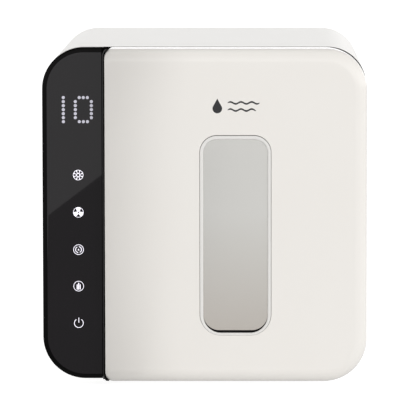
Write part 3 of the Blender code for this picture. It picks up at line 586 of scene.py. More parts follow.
def pill(bm, cx, cz, w, h, y0, y1, steps=8):
    r = min(w, h) / 2 - 0.01
    o = round_rect(cx - w / 2, cx + w / 2, cz - h / 2, cz + h / 2, r, steps)
    loft(bm, [at_y(o, y0), at_y(o, y1)])


# ---------------------------------------------------------------- case
def case_shell(bm):
    e = 0.9
    rings = []
    for f, g in quarter(4):
        rings.append(at_y(body_outline(e * f), CASE_Y0 + e * g))
    rings = rings[::1]
    inner = CASE_WALL
    front = [at_y(body_outline(e * f), CASE_Y0 + e * g) for f, g in quarter(4)]
    back = [at_y(body_outline(0.4 * f), CASE_Y1 - 0.4 * g) for f, g in quarter(2)]
    loft(bm, front[::-1] + back + [at_y(body_outline(inner), CASE_Y1), at_y(body_outline(inner), CASE_Y0)], closed=True)


piece("case_shell", case_shell, "case_white", "cabinet", ["outer_case"])


def rear_panel(bm):
    e = 1.6
    rings = [at_y(body_outline(0.5), CASE_Y1 + GAP), at_y(body_outline(0.0), CASE_Y1 + GAP + 0.5)]
    rings += [at_y(body_outline(e * f), REAR_Y1 - e * g) for f, g in quarter(5)]
    loft(bm, rings)


SCREWS = [(-118, 292), (128, 292), (-118, 92), (128, 32)]
rear = piece("rear_panel", rear_panel, "rear_white", "cabinet", ["rear_cover"])


def rear_cuts(bm):
    o = round_rect(FAN_X - 58.5, FAN_X + 58.5, FAN_Z - 58.5, FAN_Z + 58.5, 5.5, 8)
    loft(bm, [at_y(o, CASE_Y1 - 4), at_y(o, REAR_Y1 + 4)])
    o = round_rect(-137, -103, 38, 66, 2.5, 6)
    loft(bm, [at_y(o, CASE_Y1 - 4), at_y(o, REAR_Y1 + 4)])
    for i in range(9):
        pill(bm, FAN_X - 52 + 13 * i, 262, 6, 36, CASE_Y1 - 4, REAR_Y1 + 4)
    for x, z in SCREWS:
        lathe(bm, "y", (x, REAR_Y1, z), [(3.0, -1.9), (4.6, 0.3), (4.6, 2.0)], 32)


change(rear, rear_cuts)

for i, (x, z) in enumerate(SCREWS):
    def screw(bm, x=x, z=z):
        lathe(bm, "y", (x, REAR_Y1, z), [(1.4, -2.6), (2.6, -1.75), (3.3, -0.95), (3.2, -0.55), (2.6, -0.25), (1.4, -0.08)], 32)

    head = piece(f"rear_screw_{i + 1}", screw, "screw_steel", "cabinet")

    def cross(bm, x=x, z=z):
        box(bm, x - 1.9, x + 1.9, REAR_Y1 - 1.0, REAR_Y1 + 1, z - 0.35, z + 0.35)

    def cross_b(bm, x=x, z=z):
        box(bm, x - 0.35, x + 0.35, REAR_Y1 - 1.0, REAR_Y1 + 1, z - 1.9, z + 1.9)

    change(head, cross)
    change(head, cross_b)

for i, (x, y) in enumerate(((-112, -82), (112, -82), (-112, 108), (112, 108))):
    node = "foot_" + ("front_left", "front_right", "rear_left", "rear_right")[i]

    def foot(bm, x=x, y=y):
        lathe(
            bm, "z", (x, y, 0),
            [(3.0, 0.9), (5.6, 0.9), (6.2, 0.35), (6.8, 0.0), (8.4, 0.0), (9.1, 0.25), (9.5, 0.9), (11.1, 4.4), (11.4, 4.7), (11.4, 5.2)],
            48,
        )

    piece(node.replace("foot", "rubber_foot"), foot, "rubber_black", "cabinet", [node])


# ---------------------------------------------------------------- front frame
def frame_body(bm):
    inner = body_outline(CASE_WALL + GAP)
    skirt = body_outline(CASE_WALL + GAP + 2.2)
    e = 0.8
    rings = [at_y(skirt, FRAME_Y + 3), at_y(skirt, FRAME_Y + 11), at_y(inner, FRAME_Y + 11)]
    rings += [at_y(body_outline(CASE_WALL + GAP + e * f), FRAME_Y + e * g) for f, g in quarter(3)]
    loft(bm, rings)


front = piece("front_fascia", frame_body, "inner_white", "cabinet", ["front_frame"])


def frame_cuts(bm):
    loft(bm, [at_y(chamber_outline(), FRAME_Y - 5), at_y(chamber_outline(), FRAME_Y + 8)])
    o = round_rect(-136, -120, 146, 154, 1.5, 4)
    loft(bm, [at_y(o, FRAME_Y - 5), at_y(o, FRAME_Y + 8)])
    rod(bm, "y", (-92, FRAME_Y, 100), 2.9, 12, 32)


change(front, frame_cuts)


# ---------------------------------------------------------------- control column
def column_tray(bm):
    e = 0.7
    outer = [at_y(column_outline(0.35 + e * f), COL_FRONT + e * g) for f, g in quarter(3)]
    loft(bm, [at_y(column_outline(3.0), COL_BACK - 2), at_y(column_outline(3.0), COL_FRONT)] + outer[::-1] + [at_y(column_outline(0.35), COL_BACK)])


housing = piece("column_housing", column_tray, ["black_plastic", "black_matte"], "cabinet", ["control_panel_housing"])
for poly in housing.data.polygons:
    poly.material_index = 1 if abs(poly.normal.y) < 0.9 else 0
change(housing, lambda bm: box(bm, -136, -120, COL_BACK - 6, COL_BACK + 4, 146, 154))


def glass(bm):
    rings = [at_y(column_outline(0.25, 0.25), COL_FRONT - GAP), at_y(column_outline(0.0, 0.0), COL_FRONT - GAP - 0.25)]
    for k in range(9):
        a = math.radians(90 * k / 8)
        rings.append(at_y(column_outline(5.6 * (1 - math.cos(a)), 0.45 * (1 - math.cos(a))), GLASS_FRONT + 1.4 * (1 - math.sin(a))))
    loft(bm, rings)


panel = piece("column_glass", glass, ["panel_glass", "black_gloss", "black_matte"], "cabinet", ["control_panel_glass"], 25)
for poly in panel.data.polygons:
    n = poly.normal
    poly.material_index = 0 if n.y < -0.999 else (1 if n.y < -0.8 or n.x > 0.5 else 2)

INK = (GLASS_FRONT + 0.02, GLASS_FRONT - 0.05)


def plate(bm, outline):
    loft(bm, [at_y(outline, INK[0]), at_y(outline, INK[1])])


def disc(bm, cx, cz, r, n=24):
    plate(bm, [(cx + r * math.cos(2 * math.pi * i / n), cz + r * math.sin(2 * math.pi * i / n)) for i in range(n)])


def arc(bm, cx, cz, r_out, r_in, a0=0.0, a1=360.0, n=40):
    full = a1 - a0 >= 360
    angles = [math.radians(a0 + (a1 - a0) * i / n) for i in range(n if full else n + 1)]
    outer = [(cx + r_out * math.cos(a), cz + r_out * math.sin(a)) for a in angles]
    inner = [(cx + r_in * math.cos(a), cz + r_in * math.sin(a)) for a in angles]
    if full:
        loft(bm, [at_y(outer, INK[0]), at_y(outer, INK[1]), at_y(inner, INK[1]), at_y(inner, INK[0])], closed=True)
        return
    for i in range(n):
        plate(bm, [outer[i], outer[i + 1], inner[i + 1], inner[i]])


def bar(bm, x0, z0, x1, z1, w0, w1=None):
    w1 = w0 if w1 is None else w1
    d = Vector((x1 - x0, z1 - z0)).normalized()
    n = Vector((-d.y, d.x))
    plate(bm, [
        (x0 + n.x * w0 / 2, z0 + n.y * w0 / 2), (x0 - n.x * w0 / 2, z0 - n.y * w0 / 2),
        (x1 - n.x * w1 / 2, z1 - n.y * w1 / 2), (x1 + n.x * w1 / 2, z1 + n.y * w1 / 2),
    ])


def digits(bm):
    column = [278.9 - 3.87 * i for i in range(7)]
    dots = [(-135.5, z) for z in column]
    dots += [(x, z) for x in (-124.0, -108.6) for z in column[1:-1]]
    dots += [(x, z) for x in (-120.2, -116.3, -112.4) for z in (column[0], column[-1])]
    for x, z in dots:
        disc(bm, x, z, 1.52, 20)


piece("display_digits", digits, "digit_glow", "cabinet")

KEYS = [204.1, 168.0, 131.8, 96.3, 60.6]


def key_heat(bm):
    z = KEYS[0]
    arc(bm, KEY_X, z, 5.5, 4.95)
    arc(bm, KEY_X, z, 2.15, 1.35, n=28)
    for k in range(8):
        a = math.radians(22.5 + 45 * k)
        bar(bm, KEY_X + 2.1 * math.cos(a), z + 2.1 * math.sin(a), KEY_X + 4.98 * math.cos(a), z + 4.98 * math.sin(a), 0.45, 1.1)


def key_fan(bm):
    z = KEYS[1]
    arc(bm, KEY_X, z, 5.5, 5.0)
    for k in range(3):
        a0 = 90 + 120 * k
        points = []
        for i in range(11):
            a = math.radians(a0 - 29 + 58 * i / 10)
            points.append((KEY_X + 5.01 * math.cos(a), z + 5.01 * math.sin(a)))
        for r, turn in ((3.6, 36), (2.2, 48), (1.3, 60)):
            a = math.radians(a0 + turn)
            points.append((KEY_X + r * math.cos(a), z + r * math.sin(a)))
        for r, turn in ((1.3, -60), (2.2, -48), (3.6, -36)):
            a = math.radians(a0 + turn)
            points.append((KEY_X + r * math.cos(a), z + r * math.sin(a)))
        points = points[:11] + points[11:14] + points[14:]
        plate(bm, points)


def key_cycle(bm):
    z = KEYS[2]
    arc(bm, KEY_X, z, 5.5, 4.9)
    for a0 in (115, 295):
        arc(bm, KEY_X, z, 3.5, 2.75, a0, a0 + 140, 20)
        a = math.radians(a0 + 138)
        t = Vector((-math.sin(a), math.cos(a)))
        r = Vector((math.cos(a), math.sin(a)))
        c = Vector((KEY_X, z)) + r * 3.12
        plate(bm, [tuple(c + r * 0.55), tuple(c + t * 0.9), tuple(c - r * 0.5)])
    plate(bm, [(KEY_X - 1.0, z - 0.8), (KEY_X + 1.0, z - 0.8), (KEY_X, z + 1.1)])


def key_store(bm):
    z = KEYS[3]
    arc(bm, KEY_X, z, 5.5, 4.95)
    for x, top in ((-1.55, 1.9), (0.0, 3.6), (1.55, 1.9)):
        o = round_rect(KEY_X + x - 0.52, KEY_X + x + 0.52, z - 3.6, z + top, 0.3, 3)
        plate(bm, o)


def key_power(bm):
    z = KEYS[4]
    arc(bm, KEY_X, z - 0.3, 5.05, 4.4, 124, 416, 44)
    bar(bm, KEY_X, z + 0.2, KEY_X, z + 5.6, 0.7)


for name, build in (("key_heat", key_heat), ("key_fan", key_fan), ("key_cycle", key_cycle), ("key_store", key_store), ("key_power", key_power)):
    key = piece(name, build, "icon_glow", "cabinet")
    for v in key.data.vertices:
        at = key.matrix_world @ v.co
        z = min(KEYS, key=lambda k: abs(k - at.z * 1000)) * MM
        at.x, at.z = KEY_X * MM + (at.x - KEY_X * MM) * 0.91, z + (at.z - z) * 0.91
        v.co = key.matrix_world.inverted() @ at


# ---------------------------------------------------------------- door
def cover_shell(bm):
    """Outer skin with rolled edges, window opening with a small round, inner skin."""
    hole = lambda g: [(x, z + 0.25) for x, z in window_outline(RING_W + 0.7 + 2 * g, RING_H + 0.7 + 2 * g, RING_R + 0.35 + g)]
    rings = [at_y(cover_ring(0.3, 0.3), COVER_BACK), at_y(cover_ring(0, 0), COVER_BACK - 0.3)]
    for k in range(13):
        a = math.radians(90 * k / 12)
        f, g = 1 - math.cos(a), 1 - math.sin(a)
        rings.append(at_y(cover_ring(ROLL_IN * f, ROLL_LEFT * f), DOOR_FRONT + ROLL_DEEP * g))
    e = 0.3
    for k in range(4):
        a = math.radians(90 * k / 3)
        rings.append(at_y(hole(e * (1 - math.sin(a))), DOOR_FRONT + e * (1 - math.cos(a))))
    rings.append(at_y(hole(0), DOOR_FRONT + SHELL))
    rings.append(at_y(cover_ring(SHELL + ROLL_IN, SHELL + ROLL_LEFT), DOOR_FRONT + SHELL))
    rings.append(at_y(cover_ring(SHELL, SHELL), DOOR_FRONT + ROLL_DEEP + 1))
    rings.append(at_y(cover_ring(SHELL, SHELL), COVER_BACK))
    loft(bm, rings, closed=True)


cover = piece("door_skin", cover_shell, "door_white", "door", ["door_cover"], 28)


def notches(bm, grow=0.0):
    for z in HINGE_Z:
        box(bm, HINGE[0] - 5.6, BODY_X + 4, HINGE[1] - 5.5, DOOR_BACK + 3, z - 7, z + 7)


change(cover, notches, angle=28)


def hinge_bosses(bm):
    for z in HINGE_Z:
        for sz in (-1, 1):
            z0, z1 = sorted((z + sz * 7.0, z + sz * 16.5))
            o = round_rect(141.5, 153.4, -134.5, COVER_BACK - 0.1, 2.0, 5)
            loft(bm, [at_z(o, z0), at_z(o, z1)])


bosses = piece("hinge_bosses", hinge_bosses, "door_white", "door")


def boss_bores(bm):
    for z in HINGE_Z:
        rod(bm, "z", (HINGE[0], HINGE[1], z), 1.8, 40, 32)


change(bosses, boss_bores)


def back_frame(bm):
    opening = round_rect(CH_X0 - 4.3, CH_X1 + 4.3, CH_Z0 - 4.3, CH_Z1 + 4.3, CH_R + 2, 20)
    e = 0.4
    rings = [at_y(door_outline(0.3), COVER_BACK + GAP), at_y(door_outline(0.0), COVER_BACK + GAP + 0.3)]
    rings += [at_y(door_outline(e * f), DOOR_BACK - e * g) for f, g in quarter(3)]
    rings += [at_y(opening, DOOR_BACK), at_y(opening, COVER_BACK + GAP)]
    loft(bm, rings, closed=True)


door_frame = piece("door_back_frame", back_frame, "black_matte", "door", ["door_frame"])
change(door_frame, notches)


def back_edge(bm):
    c, s = math.cos(math.radians(54)), math.sin(math.radians(54))
    p = lambda t, o: (HINGE[0] + c * (7.0 + o) - s * t, HINGE[1] + s * (7.0 + o) + c * t)
    outline = [p(-6, 0), p(6, 0), p(6, 6), p(-6, 6)]
    loft(bm, [at_z(outline, 0), at_z(outline, 330)])


change(door_frame, back_edge)


def grip_strip(bm):
    """The black lip that shows between the column and the white cover, rounded at its front."""
    def path(inset):
        full_out, full_in = cover_ring(-2.0 + inset, -2.0 + inset), cover_ring(-0.8 - inset, -0.8 - inset)
        n = 21
        outer = full_out[3 * n + 6: 4 * n] + full_out[0: n - 6]
        inner = full_in[3 * n + 6: 4 * n] + full_in[0: n - 6]
        hold = lambda points: [(x, min(max(z, BODY_Z0 + 0.8), BODY_Z1 - 0.3)) for x, z in points]
        return hold(outer), hold(inner)

    rings = []
    for inset, y in [(0.0, COVER_BACK + GAP + 0.2), (0.0, STRIP_FRONT + 0.55), (0.08, STRIP_FRONT + 0.28), (0.22, STRIP_FRONT + 0.1), (0.4, STRIP_FRONT)]:
        outer, inner = path(inset)
        rings.append(at_y(outer + inner[::-1], y))
    loft(bm, rings)


def corner_fills(bm):
    """Square corners of the black lip, behind the rounded corners of the cover."""
    n = 21
    ring = cover_ring(-0.9, -0.9)
    low, high = BODY_Z0 + 0.03, BODY_Z1 - 0.03
    lower = [(x, max(z, low)) for x, z in ring[0:15]]
    upper = [(x, min(z, high)) for x, z in ring[3 * n + 6: 4 * n]]
    left = DOOR_X0 - 0.75
    for inner, corner in ((lower, (left, low)), (upper[::-1], (left, high))):
        outline = [(left, inner[0][1])] + inner[:-1] + [(inner[-1][0], corner[1]), corner]
        loft(bm, [at_y(outline, COVER_BACK + GAP + 0.2), at_y(outline, GLASS_FRONT)])


piece("door_corner_fills", corner_fills, "black_matte", "door")
strip = piece("door_grip_strip", grip_strip, ["strip_gloss", "black_matte"], "door")
for poly in strip.data.polygons:
    poly.material_index = 0 if poly.normal.y < -0.3 or poly.normal.x < -0.2 else 1



def bezel(bm):
    o = lambda g: window_outline(RING_W - 2 * g, RING_H - 2 * g, RING_R - g)
    i = lambda g: window_outline(PANE_W + 2 * g, PANE_H - 0.5 + 2 * g, PANE_R + g, lift=-0.95, drop=0.25)
    rings = [at_y(o(0), -143.5)]
    for f, g in quarter(4):
        rings.append(at_y(o(0.4 * f), -149.95 + 0.4 * g))
    rings.append(at_y(i(1.1), -149.95))
    for k in range(1, 5):
        a = math.radians(90 * k / 4)
        rings.append(at_y(i(1.1 * (1 - math.sin(a))), -149.95 + 1.3 * (1 - math.cos(a))))
    rings += [at_y(i(0), -147.9), at_y(i(2.2), -147.9), at_y(i(2.2), -143.5)]
    loft(bm, rings, closed=True)


piece("window_ring", bezel, "ring_white", "door", ["window_bezel"], 28)


# A black sheet just in front of the pane, wider at the bottom, seen as a dark line under the pane: painted shadow of
# the gap between pane and ring.
def under_pane_shadow(bm):
    outer = window_outline(PANE_W + 3.6, PANE_H + 3.6, PANE_R + 1.8, lift=-0.6)
    inner = window_outline(PANE_W + 0.1, PANE_H + 0.1, PANE_R - 1.5, lift=1.65)
    loft(bm, [at_y(outer, -147.64), at_y(outer, -147.86), at_y(inner, -147.86), at_y(inner, -147.64)], closed=True)


piece("pane_foot_shadow_sheet", under_pane_shadow, "black_gloss", "door")


def pane(bm):
    o = lambda g: window_outline(PANE_W + 3.6 - 2 * g, PANE_H + 3.6 - 2 * g, PANE_R + 1.8 - g, lift=-0.6)
    loft(bm, [at_y(o(0.2), -144.6), at_y(o(0), -144.8), at_y(o(0), -147.4), at_y(o(0.2), -147.6)])


piece("mirror_window", pane, "mirror_pane", "door", ["window_pane"])


def gasket(bm):
    o = window_outline(PANE_W + 3.6, PANE_H + 3.6, PANE_R + 1.8)
    i = lambda g: window_outline(PANE_W - 1.0 + 2 * g, PANE_H - 1.0 + 2 * g, PANE_R - 0.5 + g)
    loft(bm, [at_y(o, -144.3), at_y(o, -141.3), at_y(i(0.5), -141.3), at_y(i(0), -141.9), at_y(i(0), -143.8), at_y(i(0.5), -144.3)], closed=True)


piece("pane_gasket", gasket, "rubber_black", "door", ["window_gasket"])


def mark(bm):
    """A plain drop beside two wavy lines, printed on the door."""
    y0, y1 = DOOR_FRONT + 0.02, DOOR_FRONT - 0.045
    cx, cz, r = 12.6, 272.6, 4.6
    outline = []
    for i in range(29):
        a = math.radians(-215 + 250 * i / 28)
        outline.append((cx + r * math.cos(a), cz - 2.6 + r * math.sin(a)))
    outline += [(cx + 1.75, cz + 3.6), (cx, cz + 6.9), (cx - 1.75, cz + 3.6)]
    loft(bm, [at_y(outline, y0), at_y(outline, y1)])
    for z, x0, x1 in ((275.4, 22.5, 53.0), (268.6, 22.5, 49.5)):
        top, bottom = [], []
        n = 40
        for i in range(n + 1):
            x = x0 + (x1 - x0) * i / n
            w = 0.95 * math.sin(2 * math.pi * (x - x0) / 10.2)
            half = 0.85 * math.sqrt(max(0.12, 1 - (2 * i / n - 1) ** 10))
            top.append((x, z + w + half))
            bottom.append((x, z + w - half))
        o = top + bottom[::-1]
        loft(bm, [at_y(o, y0), at_y(o, y1)])


piece("printed_mark", mark, "mark_grey", "door")


# inner door panel: pressed steel with a raised field and a well round the window
def inner_panel(bm):
    rr = lambda dx, r: round_rect(CH_X0 + dx, CH_X1 - dx, CH_Z0 + dx, CH_Z1 - dx, r, 20)
    front_y, back_y = DOOR_BACK - 0.3, DOOR_BACK - 1.5
    well_o = lambda g: window_outline(PANE_W + 3.0 + 2 * g, PANE_H + 3.0 + 2 * g, PANE_R + 1.5 + g)
    well_i = lambda g: window_outline(PANE_W - 1.0 + 2 * g, PANE_H - 1.0 + 2 * g, PANE_R - 0.5 + g)
    rings = [at_y(rr(-4.0, CH_R + 1.7), back_y), at_y(rr(-4.0, CH_R + 1.7), front_y - 0.3), at_y(rr(-3.7, CH_R + 1.5), front_y)]
    # field rises on a soft step
    for k in range(7):
        a = math.pi * k / 6
        rings.append(at_y(rr(10.5 + 3.5 * k / 6, 8.8 - 1.8 * k / 6), front_y + 2.0 * (1 - math.cos(a)) / 2))
    top = DOOR_BACK + 1.7
    for k in range(5):
        a = math.radians(90 * k / 4)
        rings.append(at_y(well_i(1.6 * (1 - math.sin(a))), top - 1.6 * (1 - math.cos(a))))
    rings += [at_y(well_i(0), -141.0), at_y(well_o(0), -141.0), at_y(well_o(0), back_y)]
    loft(bm, rings, closed=True)


piece("door_inner_panel", inner_panel, "steel_sheet_z", "door", ["door_liner"], 40)


def seal(bm):
    """Hollow-look lip seal: a rounded bead on a flat foot."""
    def ring(grow, y):
        return at_y(chamber_outline(grow, 14), y)

    y0 = DOOR_BACK + GAP
    rings = [ring(10.5, y0), ring(10.5, y0 + 0.9)]
    for k in range(9):
        a = math.pi * k / 8
        rings.append(ring(8.0 + 1.7 * math.cos(a), y0 + 2.1 + 1.85 * math.sin(a)))
    rings += [ring(5.5, y0 + 0.9), ring(5.5, y0)]
    loft(bm, rings, closed=True)


piece("lip_seal", seal, "rubber_grey", "door", ["door_seal"], 50)


# ---------------------------------------------------------------- hinge
for tag, z in (("lower", HINGE_Z[0]), ("upper", HINGE_Z[1])):
    hx, hy = HINGE

    def bracket(bm, z=z):
        o = round_rect(139, 153, z - 12, z + 12, 2.0, 5)
        loft(bm, [at_y(o, -114.3), at_y(o, -116.6)])

    plate_obj = piece(f"hinge_plate_{tag}", bracket, "steel_plain", "cabinet", [f"hinge_bracket_{tag}"])
    change(plate_obj, lambda bm, z=z: box(bm, 149.05, 152.95, hy + 3.9, -115.0, z - 6, z + 6), "UNION")
    change(plate_obj, lambda bm, z=z: tube(bm, "z", (hx, hy, z), 3.45, 4.7, 12.0, 40, 0.3), "UNION")

    def rivets(bm, z=z):
        for dz in (-8.0, 8.0):
            lathe(bm, "y", (144.0, -116.6, z + dz), [(2.2, 0.1), (2.2, -0.4), (1.7, -0.85), (0.8, -1.05)], 24)

    piece(f"hinge_screws_{tag}", rivets, "screw_steel", "cabinet")
    piece(f"hinge_bearing_{tag}", lambda bm, z=z: tube(bm, "z", (hx, hy, z), 1.8, 3.3, 12.2, 36, 0.3), "bush", "cabinet", [f"hinge_bush_{tag}"])
    piece(f"hinge_pivot_{tag}", lambda bm, z=z: rod(bm, "z", (hx, hy, z), 1.5, 28, 32, 0.3), "steel_wire", "door", [f"hinge_pin_{tag}"])


# ---------------------------------------------------------------- chamber
def liner_shell(bm):
    f = 5.0
    rings = []
    # inner back wall with a soft corner, up the side walls to the front flange
    for k in range(6):
        a = math.radians(90 * k / 5)
        rings.append(at_y(chamber_outline(-f * (1 - math.sin(a)), 14), CH_Y1 - f * (1 - math.cos(a))))
    e = 1.0
    for k in range(4):
        a = math.radians(90 * k / 3)
        rings.append(at_y(chamber_outline(e * (1 - math.cos(a)), 14), CH_Y0 + e * (1 - math.sin(a))))
    rings += [at_y(chamber_outline(6.8, 14), CH_Y0), at_y(chamber_outline(7.0, 14), CH_Y0 + 0.2), at_y(chamber_outline(7.0, 14), CH_Y0 + SHEET), at_y(chamber_outline(SHEET, 14), CH_Y0 + SHEET), at_y(chamber_outline(SHEET, 14), CH_Y1 + SHEET)]
    loft(bm, rings)


liner = piece("steel_chamber", liner_shell, "steel_sheet_y", "cabinet", ["chamber_liner"], 40)


def grille(bm):
    for i in range(7):
        pill(bm, FAN_X - 33 + 11 * i, FAN_Z, 5, 68, CH_Y1 - 4, CH_Y1 + 5)
    for i in range(5):
        pill(bm, FAN_X - 44 + 22 * i, 256.5, 14, 5, CH_Y1 - 4, CH_Y1 + 5)


change(liner, grille, angle=40)

for side, x0, x1 in (("left", CH_X0 + GAP, -69.5), ("right", 117.5, CH_X1 - GAP)):
    def rail(bm, x0=x0, x1=x1, side=side):
        if side == "left":
            o = [(x0, 166), (x1 - 0.6, 166), (x1, 166.5), (x1, 167.1), (x1 - 0.6, 167.6), (x0 + 2.3, 167.6), (x0 + 1.5, 168.4), (x0 + 1.5, 175.5), (x0 + 1.0, 176), (x0, 176)]
        else:
            o = [(x0 + 0.6, 166), (x1, 166), (x1, 176), (x1 - 1.0, 176), (x1 - 1.5, 175.5), (x1 - 1.5, 168.4), (x1 - 2.3, 167.6), (x0 + 0.6, 167.6), (x0, 167.1), (x0, 166.5)]
        loft(bm, [at_y(o, -100), at_y(o, 62)])

    piece(f"rail_{side}", rail, "steel_sheet_y", "cabinet", [f"shelf_rail_{side}"])

for tag, y, z in (("upper", -14.0, 283.0), ("rear", 77.0, 74.0)):
    def lamp(bm, y=y, z=z):
        lathe(bm, "x", (24, y, z), [(5.5, -77), (7.2, -75.8), (7.5, -74), (7.5, 74), (7.2, 75.8), (5.5, 77)], 48)

    piece(f"lamp_tube_{tag}", lamp, "lamp_glass", "cabinet", [f"uv_lamp_{tag}"])
    for end, x0, x1 in (("left", -65, -53.3), ("right", 101.3, 113)):
        def holder(bm, x0=x0, x1=x1, y=y, z=z, tag=tag):
            if tag == "upper":
                o = [(y - 9 + 1.5, z - 9), (y + 9 - 1.5, z - 9), (y + 9, z - 9 + 1.5), (y + 9, CH_Z1 - GAP), (y - 9, CH_Z1 - GAP), (y - 9, z - 9 + 1.5)]
            else:
                o = [(y - 9 + 1.5, z - 9), (CH_Y1 - GAP, z - 9), (CH_Y1 - GAP, z + 9), (y - 9 + 1.5, z + 9), (y - 9, z + 9 - 1.5), (y - 9, z - 9 + 1.5)]
            loft(bm, [[(x, p, q) for p, q in o] for x in (x0, x1)])

        obj = piece(f"lamp_cap_{tag}_{end}", holder, "lamp_socket", "cabinet", [f"lamp_holder_{tag}_{end}"])
        soften(obj, 0.5, 2)


def guard_upper(bm):
    w = []
    y0, y1, z0, z1, t = -26.0, -2.0, 272.6, 297.5, 0.8
    out = [(y0, z1)] + [(y0 + 2.5 - 2.5 * math.cos(a), z0 + 2.5 - 2.5 * math.sin(a)) for a in (math.radians(90 * k / 5) for k in range(6))]
    out += [(y1 - 2.5 + 2.5 * math.sin(a), z0 + 2.5 - 2.5 * math.cos(a)) for a in (math.radians(90 * k / 5) for k in range(6))] + [(y1, z1)]
    inn = [(y0 + t, z1)] + [(y0 + 2.5 - 1.7 * math.cos(a), z0 + 2.5 - 1.7 * math.sin(a)) for a in (math.radians(90 * k / 5) for k in range(6))]
    inn += [(y1 - 2.5 + 1.7 * math.sin(a), z0 + 2.5 - 1.7 * math.cos(a)) for a in (math.radians(90 * k / 5) for k in range(6))] + [(y1 - t, z1)]
    outline = out + inn[::-1]
    loft(bm, [[(x, y, z) for y, z in outline] for x in (-52.7, 100.7)])


guard = piece("lamp_cage_upper", guard_upper, "steel_sheet_x", "cabinet", ["lamp_guard_upper"])


def guard_slots(bm):
    for i in range(9):
        x = 24 - 64 + 16 * i
        o = round_rect(x - 5.4, x + 5.4, -24 + 2.5, -4 - 2.5, 3.0, 6)
        loft(bm, [at_z(o, 268), at_z(o, 278)])


change(guard, guard_slots)


def guard_rear(bm):
    y0, y1, z0, z1, t = 66.6, 87.5, 62.0, 86.0, 0.8
    out = [(y1, z1)] + [(y0 + 2.5 - 2.5 * math.sin(a), z1 - 2.5 + 2.5 * math.cos(a)) for a in (math.radians(90 * k / 5) for k in range(6))]
    out += [(y0 + 2.5 - 2.5 * math.cos(a), z0 + 2.5 - 2.5 * math.sin(a)) for a in (math.radians(90 * k / 5) for k in range(6))] + [(y1, z0)]
    inn = [(y1, z1 - t)] + [(y0 + 2.5 - 1.7 * math.sin(a), z1 - 2.5 + 1.7 * math.cos(a)) for a in (math.radians(90 * k / 5) for k in range(6))]
    inn += [(y0 + 2.5 - 1.7 * math.cos(a), z0 + 2.5 - 1.7 * math.sin(a)) for a in (math.radians(90 * k / 5) for k in range(6))] + [(y1, z0 + t)]
    outline = out + inn[::-1]
    loft(bm, [[(x, y, z) for y, z in outline] for x in (-52.7, 100.7)])


guard = piece("lamp_cage_rear", guard_rear, "steel_sheet_x", "cabinet", ["lamp_guard_rear"])


def guard_rear_slots(bm):
    for i in range(9):
        x = 24 - 64 + 16 * i
        o = round_rect(x - 5.4, x + 5.4, 66.5, 81.5, 3.0, 6)
        loft(bm, [at_y(o, 62), at_y(o, 72)])


change(guard, guard_rear_slots)

# upper shelf
X0, X1, Y0, Y1 = -73.0, 121.0, -97.0, 60.0
ZS = 167.6 + GAP + 1.8


def shelf(bm):
    sweep(bm, [(x, y, ZS) for x, y in round_rect(X0 + 1.8, X1 - 1.8, Y0 + 1.8, Y1 - 1.8, 10, 10)], 1.8, 14, loop=True)
    for i in range(12):
        x = X0 + 16 + i * (X1 - X0 - 32) / 11
        sweep(bm, [(x, Y0 + 1.9, ZS + 0.55), (x, Y1 - 1.9, ZS + 0.55)], 1.07, 10)
    for y in (Y0 + 50, Y1 - 50):
        sweep(bm, [(X0 + 1.9, y, ZS - 0.45), (X1 - 1.9, y, ZS - 0.45)], 1.2, 10)


piece("wire_shelf", shelf, "steel_wire", "shelf", ["upper_shelf"], 50)

RX0, RX1, RY0, RY1 = -69.0, 117.0, -95.0, 58.0
ZF, ZR = 56.6, 92.0


def lower_rack(bm):
    for z in (ZF, ZR):
        sweep(bm, [(x, y, z) for x, y in round_rect(RX0 + 1.6, RX1 - 1.6, RY0 + 1.6, RY1 - 1.6, 12, 10)], 1.6, 14, loop=True)
    for x in (RX0 + 30, (RX0 + RX1) / 2, RX1 - 30):
        for y in (RY0 + 1.7, RY1 - 1.7):
            sweep(bm, [(x, y, ZF - 0.6), (x, y, ZR + 0.6)], 1.1, 10)
    for x in (RX0 + 1.7, RX1 - 1.7):
        for y in (RY0 + 40, RY1 - 40):
            sweep(bm, [(x, y, ZF - 0.6), (x, y, ZR + 0.6)], 1.1, 10)
    for i in range(11):
        x = RX0 + 18 + i * (RX1 - RX0 - 36) / 10
        sweep(bm, [(x, RY0 + 1.6, ZF + 0.45), (x, RY1 - 1.6, ZF + 0.45)], 1.02, 10)


piece("bottle_rack", lower_rack, "steel_wire", "rack", ["lower_rack"], 50)


def tray(bm):
    o = lambda g: round_rect(-72 + g, 120 - g, -100 + g, 62 - g, 9 - g * 0.5, 10)
    ring = lambda g, z: [(x, y, z) for x, y in o(g)]
    loft(
        bm,
        [
            ring(11.0, CH_Z0 + GAP + 1.4), ring(8.6, CH_Z0 + GAP + 1.9), ring(7.4, CH_Z0 + GAP + 3.2), ring(3.5, 52.6), ring(3.2, 53.6), ring(2.4, 54.2),
            ring(0.3, 54.2), ring(0.0, 53.9), ring(0.0, 53.3), ring(0.3, 53.0), ring(1.8, 52.6), ring(2.2, 51.8),
            ring(6.0, CH_Z0 + GAP + 2.2), ring(7.4, CH_Z0 + GAP + 0.6), ring(9.6, CH_Z0 + GAP),
        ],
    )


piece("water_tray", tray, "tray_clear", "tray", ["drip_tray"], 40)


# ---------------------------------------------------------------- filter and rear fittings
def filter_grille(bm):
    o = lambda g: round_rect(FAN_X - 58 + g, FAN_X + 58 - g, FAN_Z - 58 + g, FAN_Z + 58 - g, 5, 8)
    rings = [at_y(o(0), 142.6), at_y(o(0), 148.2)]
    rings += [at_y(o(1.8 * f), 150.0 - 1.8 * g) for f, g in quarter(4)]
    loft(bm, rings)


cassette = piece("filter_grille", filter_grille, "rear_white", "filter", ["filter_cover"])


def filter_slots(bm):
    for i in range(11):
        pill(bm, FAN_X, FAN_Z - 40 + 8 * i, 92, 4, 138, 154)
    o = round_rect(FAN_X - 16, FAN_X + 16, FAN_Z + 46.5, FAN_Z + 54, 3.7, 8)
    loft(bm, [at_y(o, 146.5), at_y(o, 154)])


change(cassette, filter_slots)


